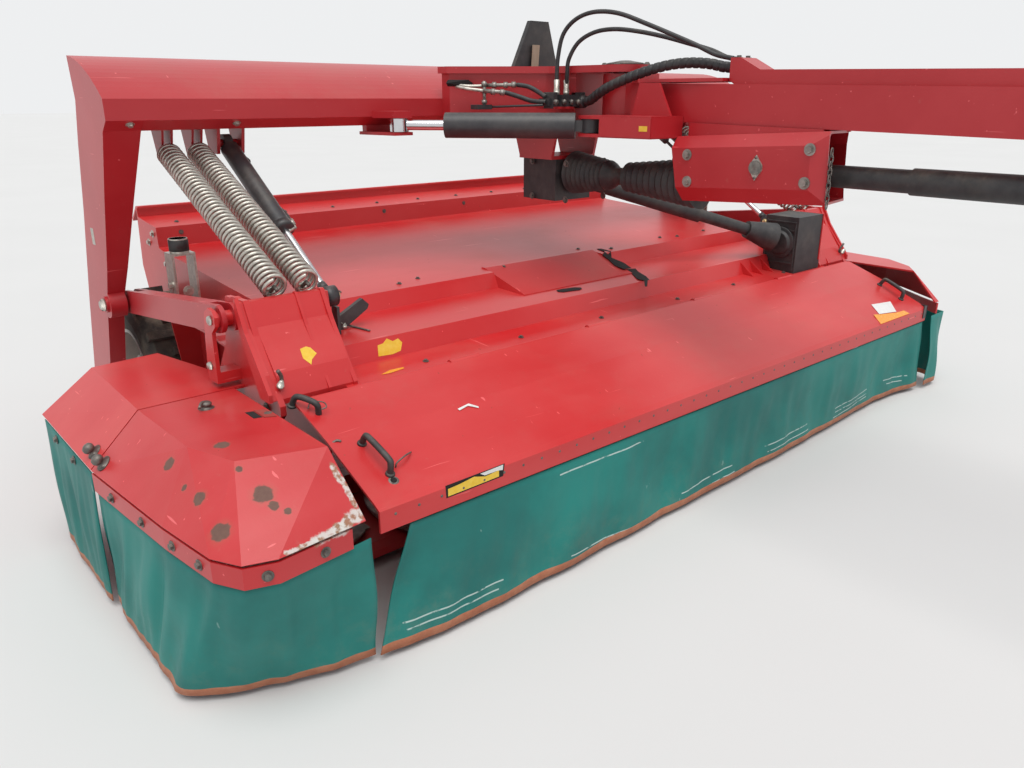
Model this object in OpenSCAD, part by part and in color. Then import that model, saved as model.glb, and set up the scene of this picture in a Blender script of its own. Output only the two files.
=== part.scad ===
// Trailed disc mower conditioner with a centre drawbar.
// Millimetres, +Z up. It travels towards -Y, so +X is the machine's left side.
// Heights are above the ground; lengths along Y are counted from the front face
// of the cross beam and shifted at the end, so that the origin is at the centre.

/* [Main frame] */
// Width over the outer faces of the two legs
frame_w = 3500; // [3400:10:3600]
// Height of the cross beam's top edge
beam_top = 1553; // [1540:1:1580]
// Height of the cross beam's underside
beam_bottom = 1317; // [1310:1:1325]
// Depth of the cross beam from front face to rear face
beam_depth = 325; // [310:1:340]
// Thickness of a leg at its head
leg_head_t = 118; // [110:1:130]
// Thickness of a leg at its foot
leg_foot_t = 58; // [52:1:62]

/* [Wheels] */
// Radius of a tyre over its lugs
tyre_r = 335; // [325:1:340]
// Width of a tyre
tyre_w = 200; // [190:1:206]
// Radius of a wheel rim
rim_r = 180; // [170:1:190]
// Distance of a wheel's centre inside the leg's outer face
wheel_inset = 220; // [216:1:224]
// Distance of the axle behind the beam's front face
axle_y = 630; // [622:1:640]

/* [Header] */
// Distance of a header end plate inside the leg's outer face
end_inset = 124; // [122:1:130]
// Thickness of a header end plate and of the bracket ribs
rib_t = 18; // [12:1:24]
// Distance of the conditioner housing's side wall inside the end plate
wall_inset = 222; // [218:1:240]
// Thickness of the folded sheet
sheet_t = 8; // [6:1:9]
// Number of cutting discs
disc_n = 9; // [9:2:9]
// Room between the outermost disc axes and the end plates' inner faces
disc_end_room = 40; // [32:1:56]
// Radius of the circle that the knife tips run on
knife_r = 235; // [225:1:240]
// Radius of the round part of a disc
disc_r = 165; // [150:1:168]
// Radius over the tines of the conditioner rotor
rotor_r = 250; // [230:1:262]
// Room between an end of the conditioner rotor and the side wall
rotor_end_room = 154; // [60:1:254]

/* [Covers] */
// Distance of the front cover's ends inside the end plates' outer faces
cover_end_inset = 31; // [26:1:51]
// Distance of the front cover's lip ahead of the beam's front face
cover_lip_y = 1250; // [1230:1:1270]
// Height of the front cover's lip
cover_lip_z = 430; // [420:1:450]
// Height of the folded flange along the covers' outer edges
flange_h = 62; // [50:1:70]
// Thickness of the protective curtains
curtain_t = 6; // [4:1:8]
// Ground clearance of the curtains
curtain_gap = 25; // [15:1:40]

/* [Suspension] */
// Length of the links between their pins
link_len = 904; // [898:1:908]
// Radius of the link pins
link_pin_r = 22; // [18:1:24]
// Outer diameter of the relief springs
spring_d = 86; // [76:1:90]
// Wire diameter of the relief springs
spring_wire = 12; // [9:0.5:14]
// Outer radius of a lift cylinder's barrel
lift_barrel_r = 34; // [30:0.5:36]
// Radius of a lift cylinder's rod
lift_rod_r = 13; // [11:0.5:16]

/* [Drawbar] */
// Distance of the drawbar's pivot ahead of the beam's front face
pivot_y = 600; // [590:1:610]
// Radius of the drawbar's pivot pin
pivot_r = 45; // [38:1:50]
// Width of the drawbar tube
tongue_w = 150; // [140:1:160]
// Height of the drawbar tube
tongue_h = 130; // [120:1:135]
// Distance of the hitch bore ahead of the beam's front face
hitch_y = 4700; // [4600:10:4800]
// Height of the hitch bore's middle
hitch_z = 500; // [480:5:520]
// Radius of the hitch bore
hitch_bore_r = 20; // [18:0.5:26]
// Radius of the power take-off guard tube at its thin end
guard_r = 35; // [30:1:38]
// Outer radius of the steering cylinder's barrel
steer_barrel_r = 47; // [42:1:48]
// Radius of the steering cylinder's rod
steer_rod_r = 19; // [16:1:22]

/* [Hidden] */

$fn = 48;
half_w = frame_w / 2;
wheel_x = half_w - wheel_inset;
end_plate_x = half_w - end_inset;
wall_x = end_plate_x - wall_inset;
bar_half = end_plate_x - rib_t;
disc_pitch = 2 * (bar_half - disc_end_room) / (disc_n - 1);
rotor_len = 2 * (wall_x - rotor_end_room);
front_cover_w = 2 * (end_plate_x - cover_end_inset);
run = 0.05;               // radial clearance of a pin that turns in its bore
gap = 6;                  // room between pieces that pass each other
rear_reach = 1120;        // rearmost point of the machine behind the beam's front face
nose_reach = hitch_y + 60;
shift_y = (nose_reach - rear_reach) / 2;

red = "firebrick";
black = [0.12, 0.12, 0.13];
steel = [0.62, 0.62, 0.6];
green = [0.1, 0.45, 0.4];

// Cross beam section, as y and z
beam_face_top = 1417;
beam_face_low = 1351;
beam_chamfer_y = 63;
roof_sag = 26;            // bulge of the beam's rounded roof over its chord

// Legs: front and rear edge at the head, knee and foot, as y and z
leg_front = [[49, 1318], [159, 1092], [271, 839], [346, 696], [495, 340]];
leg_rear = [[735, 300], [598, 670], [453, 1024], [367, 1270]];

// Links: rear pins on the legs, front pins on the header
upper_rear = [352, 696];
link_tilt = 7.12;         // rise of the links towards the front, in degrees
link_step = [-link_len * cos(link_tilt), link_len * sin(link_tilt)];
upper_front = upper_rear + link_step;
lower_rear = [510, 352];
lower_front = lower_rear + link_step;
link_x = end_plate_x + 2;
upper_link_w = 54;
lower_link_w = 30;
lower_link_x = wheel_x + tyre_w / 2 + 12;   // inner plane of the lower links
link_h = 84;

// Springs and lift cylinders: their planes, tops and feet
spring_planes = [half_w - 345, half_w - 240];
spring_top = [216, 1252];
spring_foot = [-624, 862];
lift_x = half_w - 460;
lift_top = [200, 1262];
lift_foot = [-500, 808];
eye_r = 32;
lift_pin_r = 14;

// Drawbar
tongue_fall = 0.0192;     // fall of the drawbar for each millimetre forward
tongue_mid_z = 1407;      // its middle height at the drawbar's rear end
tongue_start = 700;
bend_y = 3450;            // where the drawbar turns down
nose_y = 4420;            // where it turns level again, at the hitch
pto_z = 1182;             // height of the power take-off line
hood_front_y = -790;      // front lip of the header's roof
hood_front_z = 596;
disc_y = -720;            // row of discs
bar_top = 58;
knife_z = 66;             // underside of the knives
disc_z = 78;              // underside of the discs
rotor_c = [-150, 430];    // conditioner rotor's axis, as y and z
cover_hinge = [-806, 594]; // front cover's hinge, as y and z
cover_pin_r = 9;
side_hinge = [end_plate_x + 36, 580]; // side covers' hinge, as x and z
split_y = -550;           // where the front and rear side panels meet
side_top_z = 592;
side_edge_z = 450;
side_split_gap = 6;

// A piece on the right side and its mirror image on the left
module both_sides() {
    children();
    mirror([1, 0, 0]) children();
}

// A plate of thickness t whose outline is given as y and z, from x0 towards +X
module plate_yz(x0, t, outline) {
    translate([x0, 0, 0]) rotate([90, 0, 90]) linear_extrude(t) polygon(outline);
}

// A plate of thickness t whose outline is given as x and y, from z0 upwards
module plate_xy(z0, t, outline) {
    translate([0, 0, z0]) linear_extrude(t) polygon(outline);
}

// A round bar along X between x0 and x1 at the place p, given as y and z
module bar_x(x0, x1, p, r) {
    translate([x0, p[0], p[1]]) rotate([0, 90, 0]) cylinder(r = r, h = x1 - x0);
}

// A flat link bar with round ends between two places given as y and z
module link_bar(x0, t, a, b, h) {
    d = b - a;
    length = norm(d);
    turn = atan2(d[1], d[0]);
    translate([x0, a[0], a[1]]) rotate([turn, 0, 0]) {
        translate([0, 0, -h / 2]) cube([t, length, h]);
        rotate([0, 90, 0]) cylinder(r = h / 2, h = t);
        translate([0, length, 0]) rotate([0, 90, 0]) cylinder(r = h / 2, h = t);
    }
}

// Lays a piece that is built along +Z from a to b, which are places in space
module along(a, b) {
    d = b - a;
    length = norm(d);
    translate(a) rotate([0, acos(d[2] / length), atan2(d[1], d[0])]) children();
}

// Points of the arc from a to b that bulges by sag to the left of its chord
function arc_points(a, b, sag, steps) =
    let (chord = norm(b - a),
         radius = (chord * chord / 4 + sag * sag) / (2 * sag),
         mid = (a + b) / 2,
         out = [-(b[1] - a[1]), b[0] - a[0]] / chord,
         centre = mid + out * (sag - radius),
         spread = asin(chord / 2 / radius),
         start = atan2(out[1], out[0]) + spread)
    [for (i = [0:steps])
        centre + radius * [cos(start - 2 * spread * i / steps),
                           sin(start - 2 * spread * i / steps)]];

// A sheet that follows a line of points given as y and z, t thick downwards
function sheet_outline(line, t) =
    concat(line, [for (i = [len(line) - 1:-1:0]) line[i] - [0, t]]);

beam_roof = arc_points([0, beam_face_top], [beam_depth, beam_top], roof_sag, 12);
beam_section = concat(beam_roof, [[beam_depth - 17, beam_bottom], [beam_chamfer_y, beam_bottom],
                                  [0, beam_face_low]]);
function leg_inner_x(z) = half_w - leg_foot_t
    - (leg_head_t - leg_foot_t) * max(0, min(1, (z - 700) / (beam_bottom - 700)));

module spring_lugs() {
    for (x = spring_planes)
        for (side = [-1, 1])
            plate_yz(-x + side * 16 - 4, 8,
                [[160, beam_bottom], [270, beam_bottom], [238, spring_top[1] - 26],
                 [194, spring_top[1] - 26]]);
    for (x = spring_planes)
        bar_x(-x - 20, -x + 20, spring_top, 9);
}

module lift_lugs() {
    half = lift_barrel_r + gap;
    for (x = [-lift_x - half - ear_t, -lift_x + half])
        plate_yz(x, ear_t, [[140, beam_bottom], [260, beam_bottom], [236, lift_top[1] - 36],
                            [164, lift_top[1] - 36]]);
    bar_x(-lift_x - half - ear_t / 2, -lift_x + half + ear_t / 2, lift_top, lift_pin_r);
}

steer_eye = [-710, -80];
steer_foot = [-220, -640];
steer_z = 1320;
steer_fork = 26;           // half the room between the ears for a cylinder's eye
ear_t = 12;

module steer_ears_on_beam() {
    outline = [[steer_eye[0] - 75, 20], [steer_eye[0] - 42, steer_eye[1] - 30],
               [steer_eye[0] + 42, steer_eye[1] - 30], [steer_eye[0] + 75, 20]];
    low = [[steer_eye[0] - 75, beam_chamfer_y + 30], [steer_eye[0] - 42, steer_eye[1] - 30],
           [steer_eye[0] + 42, steer_eye[1] - 30], [steer_eye[0] + 75, beam_chamfer_y + 30]];
    difference() {
        plate_xy(steer_z + steer_fork, beam_face_low + 20 - steer_z - steer_fork, outline);
        translate([steer_eye[0] - 100, 0, beam_bottom]) cube([200, 100, 100]);
    }
    plate_xy(steer_z - steer_fork - ear_t, ear_t, low);
    translate([steer_eye[0] - 60, beam_chamfer_y, steer_z - steer_fork])
        cube([120, 30, beam_bottom - steer_z + steer_fork]);
}

module beam() {
    color(red) {
        plate_yz(-(half_w - leg_head_t), frame_w - 2 * leg_head_t, beam_section);
        both_sides() {
            spring_lugs();
            lift_lugs();
        }
    }
}

// Ears on the beam's front that hold the steering cylinder's rod eye
module steer_anchor() { color(red) steer_ears_on_beam(); }

module leg() {
    outline = concat(beam_roof, [[beam_depth - 17, 1413]],
        [for (i = [len(leg_rear) - 1:-1:0]) leg_rear[i]],
        [for (i = [len(leg_front) - 1:-1:0]) leg_front[i]], [[0, beam_face_low]]);
    difference() {
        union() {
            intersection() {
                plate_yz(-half_w, leg_head_t, outline);
                // The inner face tapers towards the foot
                translate([0, 1500, 0]) rotate([90, 0, 0]) linear_extrude(2000)
                    polygon([[-half_w, 0], [-half_w + leg_foot_t, 0], [-half_w + leg_foot_t, 700],
                             [-half_w + leg_head_t, beam_bottom], [-half_w + leg_head_t, 1700],
                             [-half_w, 1700]]);
            }
            bar_x(-half_w, -half_w + leg_foot_t, lower_rear, 55);
            bar_x(-half_w, -half_w + leg_foot_t, [axle_y, tyre_r], 75);
            bar_x(-half_w, -half_w + leg_foot_t, upper_rear, 52);
        }
    }
    // Pins of the two links, and the stub axle
    for (pin = [upper_rear, lower_rear]) {
        bar_x(-half_w - 8, -half_w, pin, link_pin_r + 8);
        bar_x(-half_w, (pin == lower_rear ? -lower_link_x : -link_x) + 4, pin, link_pin_r);
    }
    bar_x(-half_w + leg_foot_t, -wheel_x + 60, [axle_y, tyre_r], 32);
}

module legs() { color(red) both_sides() leg(); }

pivot_roof_z = 1512;
pivot_floor_z = 1310;
pivot_wall = 26;
nose_half = 112;
box_left = 400;
box_right = 460;

module pivot_box() {
    nose = [[-box_right, 0], [-box_right, -60], [-150, -330], [-nose_half, -pivot_y],
            [nose_half, -pivot_y], [140, -330], [box_left, -60], [box_left, 0]];
    color(red) {
        difference() {
            union() {
                // Roof plate, floor plate and the closed box behind the pivot
                plate_xy(pivot_roof_z, pivot_wall, nose);
                plate_xy(pivot_floor_z, pivot_wall, nose);
                plate_xy(pivot_floor_z + 10, pivot_roof_z - pivot_floor_z,
                    [[-box_right + 20, 0], [-box_right + 20, -50], [-150, -310], [-100, -345],
                     [-100, -430], [120, -430], [130, -320], [box_left - 20, -50], [box_left - 20, 0]]);
                for (z = [pivot_roof_z, pivot_floor_z])
                    translate([0, -pivot_y, z]) cylinder(r = nose_half, h = pivot_wall);
            }
            // The box is seated against the beam's rounded front
            plate_yz(-half_w, frame_w, beam_section);
            translate([-half_w, 0, beam_bottom - 40]) cube([frame_w, 100, 40]);
        }
        // Pivot pin with its cap
        translate([0, -pivot_y, pivot_floor_z]) cylinder(r = pivot_r, h = pivot_roof_z - pivot_floor_z);
        translate([0, -pivot_y, pivot_roof_z + pivot_wall]) cylinder(r = 60, h = 10);
        // Shelf of the valve block
        plate_xy(valve_z - 8, 8, [[-250, -470], [-150, -470], [-90, -425], [-90, -350], [-250, -360]]);
        // Bracket that carries the gearbox
        translate([-130, -330, 1176]) cube([260, 200, 14]);
        for (x = [-130, 116])
            plate_yz(x, 14, [[-330, 1190], [-130, 1190], [-90, pivot_floor_z], [-360, pivot_floor_z]]);
    }
}

module pivot_gearbox() {
    color(black) difference() {
        union() {
            translate([-105, -330, 1006]) cube([210, 200, 170]);
            translate([0, -330, pto_z - 62]) rotate([90, 0, 0]) cylinder(r = 58, h = 18);
            translate([105, -230, 1070]) rotate([0, 90, 0]) cylinder(r = 48, h = 18);
        }
    }
}

// A bellows along -Y from y0, with n folds, big radius r0 at its start and r1 at its end
module bellows(y0, length, r0, r1, n) {
    fold = 12;
    profile = concat([[0, 0]],
        [for (i = [0:2 * n]) [r0 + (r1 - r0) * i / (2 * n) - (i % 2) * fold, length * i / (2 * n)]],
        [[0, length]]);
    translate([0, y0, pto_z - 62]) rotate([90, 0, 0]) rotate_extrude() polygon(profile);
}

module bellows_rear() { color(black) bellows(-348, 190, 88, 60, 8); }

module bellows_front() {
    color(black) {
        difference() {
            bellows(-648, 356, 58, 94, 11);
            plate_yz(-200, 400, [[-1010, 990], [-941, 1330], [-1300, 1330], [-1300, 990]]);
        }
    }
}

module marker_board() {
    board_x = 228;
    board_y = 170;
    difference() {
        union() {
            color(black) translate([board_x, board_y, beam_top]) rotate([90, 0, 0]) linear_extrude(24)
                polygon([[-176, -60], [146, -60], [66, 200], [-46, 200]]);
            color(steel) translate([board_x - 38, board_y - 34, beam_top - 60]) cube([36, 10, 156]);
        }
        plate_yz(-half_w, frame_w, beam_section);
    }
}

valve_z = steer_z + steer_barrel_r + 20;   // underside of the valve block
valve_h = 44;
module valve_block() {
    color(black) {
        translate([-215, -470, valve_z]) cube([105, 100, valve_h]);
        translate([-262, -450, valve_z + 4]) cube([48, 60, 26]);
        translate([-111, -470, valve_z + 3]) cube([20, 34, 34]);
    }
}

// A hose along a list of points: rings of n corners swept by one polyhedron
function unit(v) = v / norm(v);
function ring_frame(path, i) =
    let (last = len(path) - 1,
         dir = unit(path[min(i + 1, last)] - path[max(i - 1, 0)]),
         side = unit(cross(dir, [0.31, 0.17, 0.93])))
    [side, cross(side, dir)];
module hose(path, r, n) {
    rings = [for (i = [0:len(path) - 1])
        let (f = ring_frame(path, i))
        for (k = [0:n - 1]) path[i] + r * (cos(360 * k / n) * f[0] + sin(360 * k / n) * f[1])];
    sides = [for (i = [0:len(path) - 2]) for (k = [0:n - 1])
        [i * n + k, (i + 1) * n + k, (i + 1) * n + (k + 1) % n, i * n + (k + 1) % n]];
    polyhedron(rings, concat(sides, [[for (k = [0:n - 1]) k],
        [for (k = [n - 1:-1:0]) (len(path) - 1) * n + k]]), convexity = 10);
}

// A smooth curve through chosen points, each span cut into steps pieces
function spline_point(p, i, t) =
    let (last = len(p) - 1,
         a = p[max(i - 1, 0)], b = p[i], c = p[i + 1], d = p[min(i + 2, last)])
    0.5 * (2 * b + (c - a) * t + (2 * a - 5 * b + 4 * c - d) * t * t
           + (3 * b - a - 3 * c + d) * t * t * t);
function smooth(p, steps) = concat(
    [for (i = [0:len(p) - 2]) for (s = [0:steps - 1]) spline_point(p, i, s / steps)],
    [p[len(p) - 1]]);

duct_mouth = [0, -1110, 1534];
valve_ports = [[-194, -420, valve_z + valve_h], [-141, -420, valve_z + valve_h]];

// The two long hoses that rise over the pivot
loop_routes = [
    [valve_ports[0] + [0, 0, 1], valve_ports[0] + [0, 0, 30], [-194, -420, 1505], [-193, -424, 1570], [-188, -445, 1648], [-175, -498, 1698],
     [-155, -575, 1719], [-130, -672, 1709], [-103, -786, 1668], [-78, -886, 1628], [-58, -974, 1592],
     [-40, -1044, 1560], duct_mouth + [-26, 3, 12]],
    [valve_ports[1] + [0, 0, 1], valve_ports[1] + [0, 0, 30], [-149, -431, 1508], [-150, -440, 1561],
     [-139, -479, 1620], [-120, -544, 1653], [-93, -622, 1661], [-62, -716, 1649], [-32, -811, 1628],
     [-4, -895, 1604], [14, -985, 1578], [24, -1050, 1552], duct_mouth + [26, 3, 10]]
];
loop_r = 8;
module hose_loops() {
    color(black) for (route = loop_routes) hose(smooth(route, 3), loop_r, 8);
}

bundle_route = [[-101, -475, 1405], [-104, -518, 1411], [-116, -565, 1431], [-124, -625, 1456],
                [-110, -700, 1485], [-84, -776, 1511], [-54, -850, 1530], [-28, -925, 1537],
                [-8, -1000, 1532], [-1, -1056, 1521], duct_mouth + [0, 2, -16]];
module hose_bundle() { color(black) hose(smooth(bundle_route, 3), 18, 10); }

module tyre() {
    lug_n = 28;
    tread_r = tyre_r - 22;
    wall_r = 24;
    color([0.1, 0.1, 0.1]) rotate([0, 90, 0]) translate([0, 0, -tyre_w / 2]) {
        rotate_extrude($fn = 96) polygon([[rim_r, 12], [rim_r + 60, 0], [tread_r - wall_r, 4],
            [tread_r, 30], [tread_r, tyre_w - 30], [tread_r - wall_r, tyre_w - 4],
            [rim_r + 60, tyre_w], [rim_r, tyre_w - 12]]);
        for (i = [0:lug_n - 1])
            rotate([0, 0, (i + (i % 2) * 0) * 360 / lug_n])
                translate([tread_r - 8, -16, i % 2 == 0 ? 10 : tyre_w / 2 - 12])
                    cube([30, 32, tyre_w / 2 + 2]);
    }
}

module rim() {
    hub_r = 62;
    color("gainsboro") rotate([0, 90, 0]) difference() {
        union() {
            translate([0, 0, -tyre_w / 2 + 10]) rotate_extrude($fn = 96)
                polygon([[rim_r - 14, 0], [rim_r, 0], [rim_r, tyre_w - 20], [rim_r - 14, tyre_w - 20]]);
            translate([0, 0, -8]) cylinder(r = rim_r - 10, h = 14);
            translate([0, 0, -60]) cylinder(r = hub_r, h = 120);
        }
        translate([0, 0, -80]) cylinder(r = 32 + run, h = 160);
        for (i = [0:5]) rotate([0, 0, i * 60]) translate([115, 0, -20]) cylinder(r = 26, h = 50);
    }
}

module at_wheel(side) { translate([side * wheel_x, axle_y, tyre_r]) children(); }

function tongue_z(y) = tongue_mid_z - tongue_fall * (-y - tongue_start);

tongue_split = bend_y - 40;   // where the level tube ends and the bent front part begins
tongue_top = tongue_h / 2;

// Front part of the drawbar: bent down to the hitch, with the jack's sleeve
module drawbar_nose() {
    nose_h = 90;
    outline = [
        [-tongue_split, tongue_z(-tongue_split) + tongue_top], [-bend_y, tongue_z(-bend_y) + tongue_top],
        [-nose_y + 20, hitch_z + nose_h], [-hitch_y + 40, hitch_z + nose_h / 2],
        [-hitch_y + 40, hitch_z - nose_h / 2], [-nose_y - 40, hitch_z - nose_h / 2],
        [-tongue_split, tongue_z(-tongue_split) - tongue_top]];
    color(red) difference() {
        union() {
            plate_yz(-tongue_w / 2, tongue_w, outline);
            // Hitch with its bore
            translate([0, -hitch_y, hitch_z - nose_h / 2]) cylinder(r = 60, h = nose_h);
            // Jack sleeve on the drawbar's side
            translate([-tongue_w / 2 - 62, -jack_y, 420]) cylinder(r = 44, h = 420);
            translate([-tongue_w / 2 - 50, -jack_y - 40, 520]) cube([60, 80, 60]);
            translate([-tongue_w / 2 - 50, -jack_y - 40, 700]) cube([60, 80, 60]);
        }
        translate([0, -hitch_y, hitch_z - 100]) cylinder(r = hitch_bore_r, h = 200);
        translate([-tongue_w / 2 - 62, -jack_y, 400]) cylinder(r = 36 + run, h = 460);
        translate([-120, -hitch_y - 70, hitch_z - 15]) cube([240, 120, 30]);
        // Window through which the tractor's drive shaft passes
        plate_yz(-shaft_window / 2, shaft_window, [[-bend_y + 20, pto_z + 55], [-bend_y - 700, pto_z + 55],
            [-bend_y - 700, pto_z - 330], [-bend_y - 300, pto_z - 190], [-bend_y + 20, pto_z - 60]]);
    }
}
shaft_window = 106;       // width of the drive shaft's window in the bent front part

module drawbar() {
    top = tongue_top;
    outline = [
        [-tongue_start, tongue_z(-tongue_start) + top], [-tongue_split, tongue_z(-tongue_split) + top],
        [-tongue_split, tongue_z(-tongue_split) - top], [-tongue_start, tongue_z(-tongue_start) - top]];
    sleeve_low = pivot_floor_z + pivot_wall + gap;
    sleeve_h = pivot_roof_z - gap - sleeve_low;
    color(red) {
        difference() {
            union() {
                plate_yz(-tongue_w / 2, tongue_w, outline);
                // Sleeve on the pivot pin
                translate([0, -pivot_y, sleeve_low]) cylinder(r = 84, h = sleeve_h);
                translate([-60, -tongue_start - 20, sleeve_low]) cube([120, 100, sleeve_h]);
                // Roof plate and bracket for the steering cylinder
                plate_xy(tongue_z(-tongue_start) + top, 12,
                    [[-110, -760], [-75, -1105], [75, -1105], [110, -760]]);
                plate_xy(steer_z + steer_fork, ear_t,
                    [[-75, -640], [-190, -600], [-262, -610], [-270, -680], [-240, -940], [-75, -950]]);
                plate_xy(steer_z - steer_fork - ear_t, ear_t,
                    [[-75, -700], [-190, -600], [-262, -610], [-270, -680], [-240, -940], [-75, -950]]);
                plate_yz(-tongue_w / 2 - 60, 10, [[-760, steer_z + steer_fork + ear_t],
                    [-940, steer_z + steer_fork + ear_t], [-880, 1470], [-790, 1470]]);
                translate([-240, -940, steer_z - steer_fork]) cube([10, 160, 2 * steer_fork]);
            }
            translate([0, -pivot_y, sleeve_low - 1]) cylinder(r = pivot_r + run, h = sleeve_h + 2);
        }
    }
}
jack_y = 4150;

module jack_leg() {
    color(steel) translate([-tongue_w / 2 - 62, -jack_y, 0]) {
        cylinder(r = 90, h = 10);
        cylinder(r = 36, h = 800);
    }
}

module hose_duct() {
    top = tongue_h / 2;
    duct_h = 46;
    color(red) plate_yz(-45, 90, [
        [-1110, tongue_z(-1110) + top + 12], [-1110, tongue_z(-1110) + top + 84],
        [-1150, tongue_z(-1150) + top + 84], [-1228, tongue_z(-1228) + top + duct_h],
        [-bend_y + 60, tongue_z(-bend_y + 60) + top + duct_h],
        [-bend_y + 60, tongue_z(-bend_y + 60) + top + run], [-1130, tongue_z(-1130) + top + run]]);
}

box_section = [[-100, 1290], [-140, 1250], [-140, 1115], [-105, 1066], [105, 1066],
               [140, 1115], [140, 1250], [100, 1290]];
box_rise = 0.0577;         // the box climbs towards the front by this much for each millimetre

// The shaft box's section swept towards the front between two plan outlines
module box_sweep(section, plan) {
    translate([0, -960, 1180]) rotate([-atan(box_rise), 0, 0]) translate([0, 960, -1180])
        intersection() {
            translate([0, -900, 0]) rotate([90, 0, 0]) linear_extrude(700) polygon(section);
            plate_xy(1000, 400, plan);
        }
}
module pto_box() {
    inner = [for (p = box_section) [p[0] * 0.95, 1178 + (p[1] - 1178) * 0.93]];
    color(red) {
        difference() {
            // The side walls' front edges are folded inwards
            box_sweep(box_section, [[-140, -920], [-140, -1498], [-110, -1542], [90, -1500],
                [140, -1470], [140, -920]]);
            intersection() {
                box_sweep(inner, [[-133, -920], [-133, -1495], [-101, -1546], [84, -1504],
                    [84, -1600], [133, -1600], [133, -920]]);
                plate_yz(-200, 400, [[-1019, 990], [-950, 1330], [-1700, 1330], [-1700, 990]]);
            }
            // Slanted rear end
            plate_yz(-200, 400, [[-1011, 990], [-942, 1330], [-800, 1330], [-800, 990]]);
        }
        // Hanger between the box and the drawbar
        for (x = [-90, 82])
            plate_yz(x, 8, [[-990, 1287], [-990, tongue_z(-990) - tongue_h / 2],
                [-1500, tongue_z(-1500) - tongue_h / 2], [-1500, 1316]]);
    }
}

module pto_guard() {
    color(black) translate([0, -1000, pto_z]) rotate([90, 0, 0]) {
        cylinder(r = guard_r, h = 760);
        translate([0, 0, 760]) cylinder(r = guard_r + 5, h = 1240);
        translate([0, 0, 2000]) cylinder(r = 62, h = 30);
    }
    // Bearing hanger and splined stub
    color(red) plate_yz(-60, 120, [[-3005, pto_z + 30], [-3005, tongue_z(-3005) - tongue_h / 2],
        [-3045, tongue_z(-3045) - tongue_h / 2], [-3045, pto_z + 30]]);
    color(steel) translate([0, -3030, pto_z]) rotate([90, 0, 0]) cylinder(r = 17.45, h = 110);
}

// A cylinder's eye across the axis, with its own pin that ends inside the ears
module cylinder_eye(r, width) {
    cylinder(r = r, h = width, center = true);
}

steer_axis = unit(steer_eye - steer_foot);
steer_turn = atan2(steer_axis[1], steer_axis[0]);
steer_len = norm(steer_eye - steer_foot);
barrel_len = 560;

module steer_barrel() {
    color(black) translate([steer_foot[0], steer_foot[1], steer_z]) rotate([0, 0, steer_turn])
    difference() {
        union() {
            cylinder_eye(40, 2 * steer_fork - 4);
            translate([20, -20, -20]) cube([50, 40, 40]);
            translate([62, 0, 0]) rotate([0, 90, 0]) cylinder(r = steer_barrel_r, h = barrel_len - 62);
        }
        translate([90, 0, 0]) rotate([0, 90, 0]) cylinder(r = steer_barrel_r - 8, h = barrel_len - 120);
        translate([90, 0, 0]) rotate([0, 90, 0]) cylinder(r = steer_rod_r + run, h = barrel_len);
        cylinder(r = 18, h = 100, center = true);
    }
    color(steel) translate([steer_foot[0], steer_foot[1], steer_z])
        cylinder(r = 18, h = 2 * steer_fork - 4, center = true);
}

module steer_rod() {
    inside = 240;
    color(steel) translate([steer_foot[0], steer_foot[1], steer_z]) rotate([0, 0, steer_turn]) {
        translate([barrel_len - inside, 0, 0]) rotate([0, 90, 0])
            cylinder(r = steer_rod_r, h = steer_len - barrel_len + inside - 30);
        translate([steer_len, 0, 0]) cylinder_eye(38, 2 * steer_fork - 4);
    }
}

// Box section link with a fork of two plates at its rear pin
module upper_link() {
    link_bar(-link_x - upper_link_w, 14, upper_rear, upper_front, link_h);
    link_bar(-link_x - 14, 14, upper_rear, upper_front, link_h);
    d = upper_front - upper_rear;
    translate([-link_x - upper_link_w + 14, upper_rear[0], upper_rear[1]])
        rotate([atan2(d[1], d[0]), 0, 0])
            translate([0, 120, -link_h / 2]) cube([upper_link_w - 28, link_len - 200, link_h]);
}

module upper_links() {
    color(red) both_sides() difference() {
        upper_link();
        bar_x(-half_w, -link_x + 10, upper_rear, link_pin_r + run);
        bar_x(-half_w, -link_x + 10, upper_front, link_pin_r + run);
    }
}

module lower_links() {
    color(red) both_sides() difference() {
        link_bar(-lower_link_x - lower_link_w, lower_link_w, lower_rear, lower_front, 76);
        bar_x(-half_w, -link_x + 10, lower_rear, link_pin_r + run);
        bar_x(-half_w, -link_x + 10, lower_front, link_pin_r + run);
    }
}

// Line of the header's roof from its front lip to its rear edge, as y and z
roof_line = [[hood_front_y, hood_front_z], [-650, 606], [-622, 672], [-340, 680], [-310, 740],
             [750, 805], [772, 812], [778, 896], [1000, 920]];
// Lip along the roof's rear edge, and the underside of the sheet from the rear to the front
roof_lip = [[1000, 958], [984, 958], [984, 966], [1008, 966], [1080, 905], [1080, 893], [1072, 897],
            [1008, 952], [1008, 912], [778 + sheet_t, 896 - sheet_t], [772 + sheet_t, 812 - sheet_t],
            [750, 805 - sheet_t], [-306, 740 - sheet_t], [-336, 680 - sheet_t], [-616, 672 - sheet_t],
            [-644, 606 - sheet_t], [hood_front_y, hood_front_z - sheet_t]];

function roof_z(y) = lookup(y, roof_line);
lug_pitch = (wall_x - 104) / 2;   // spacing of the lugs that carry the front cover

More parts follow.
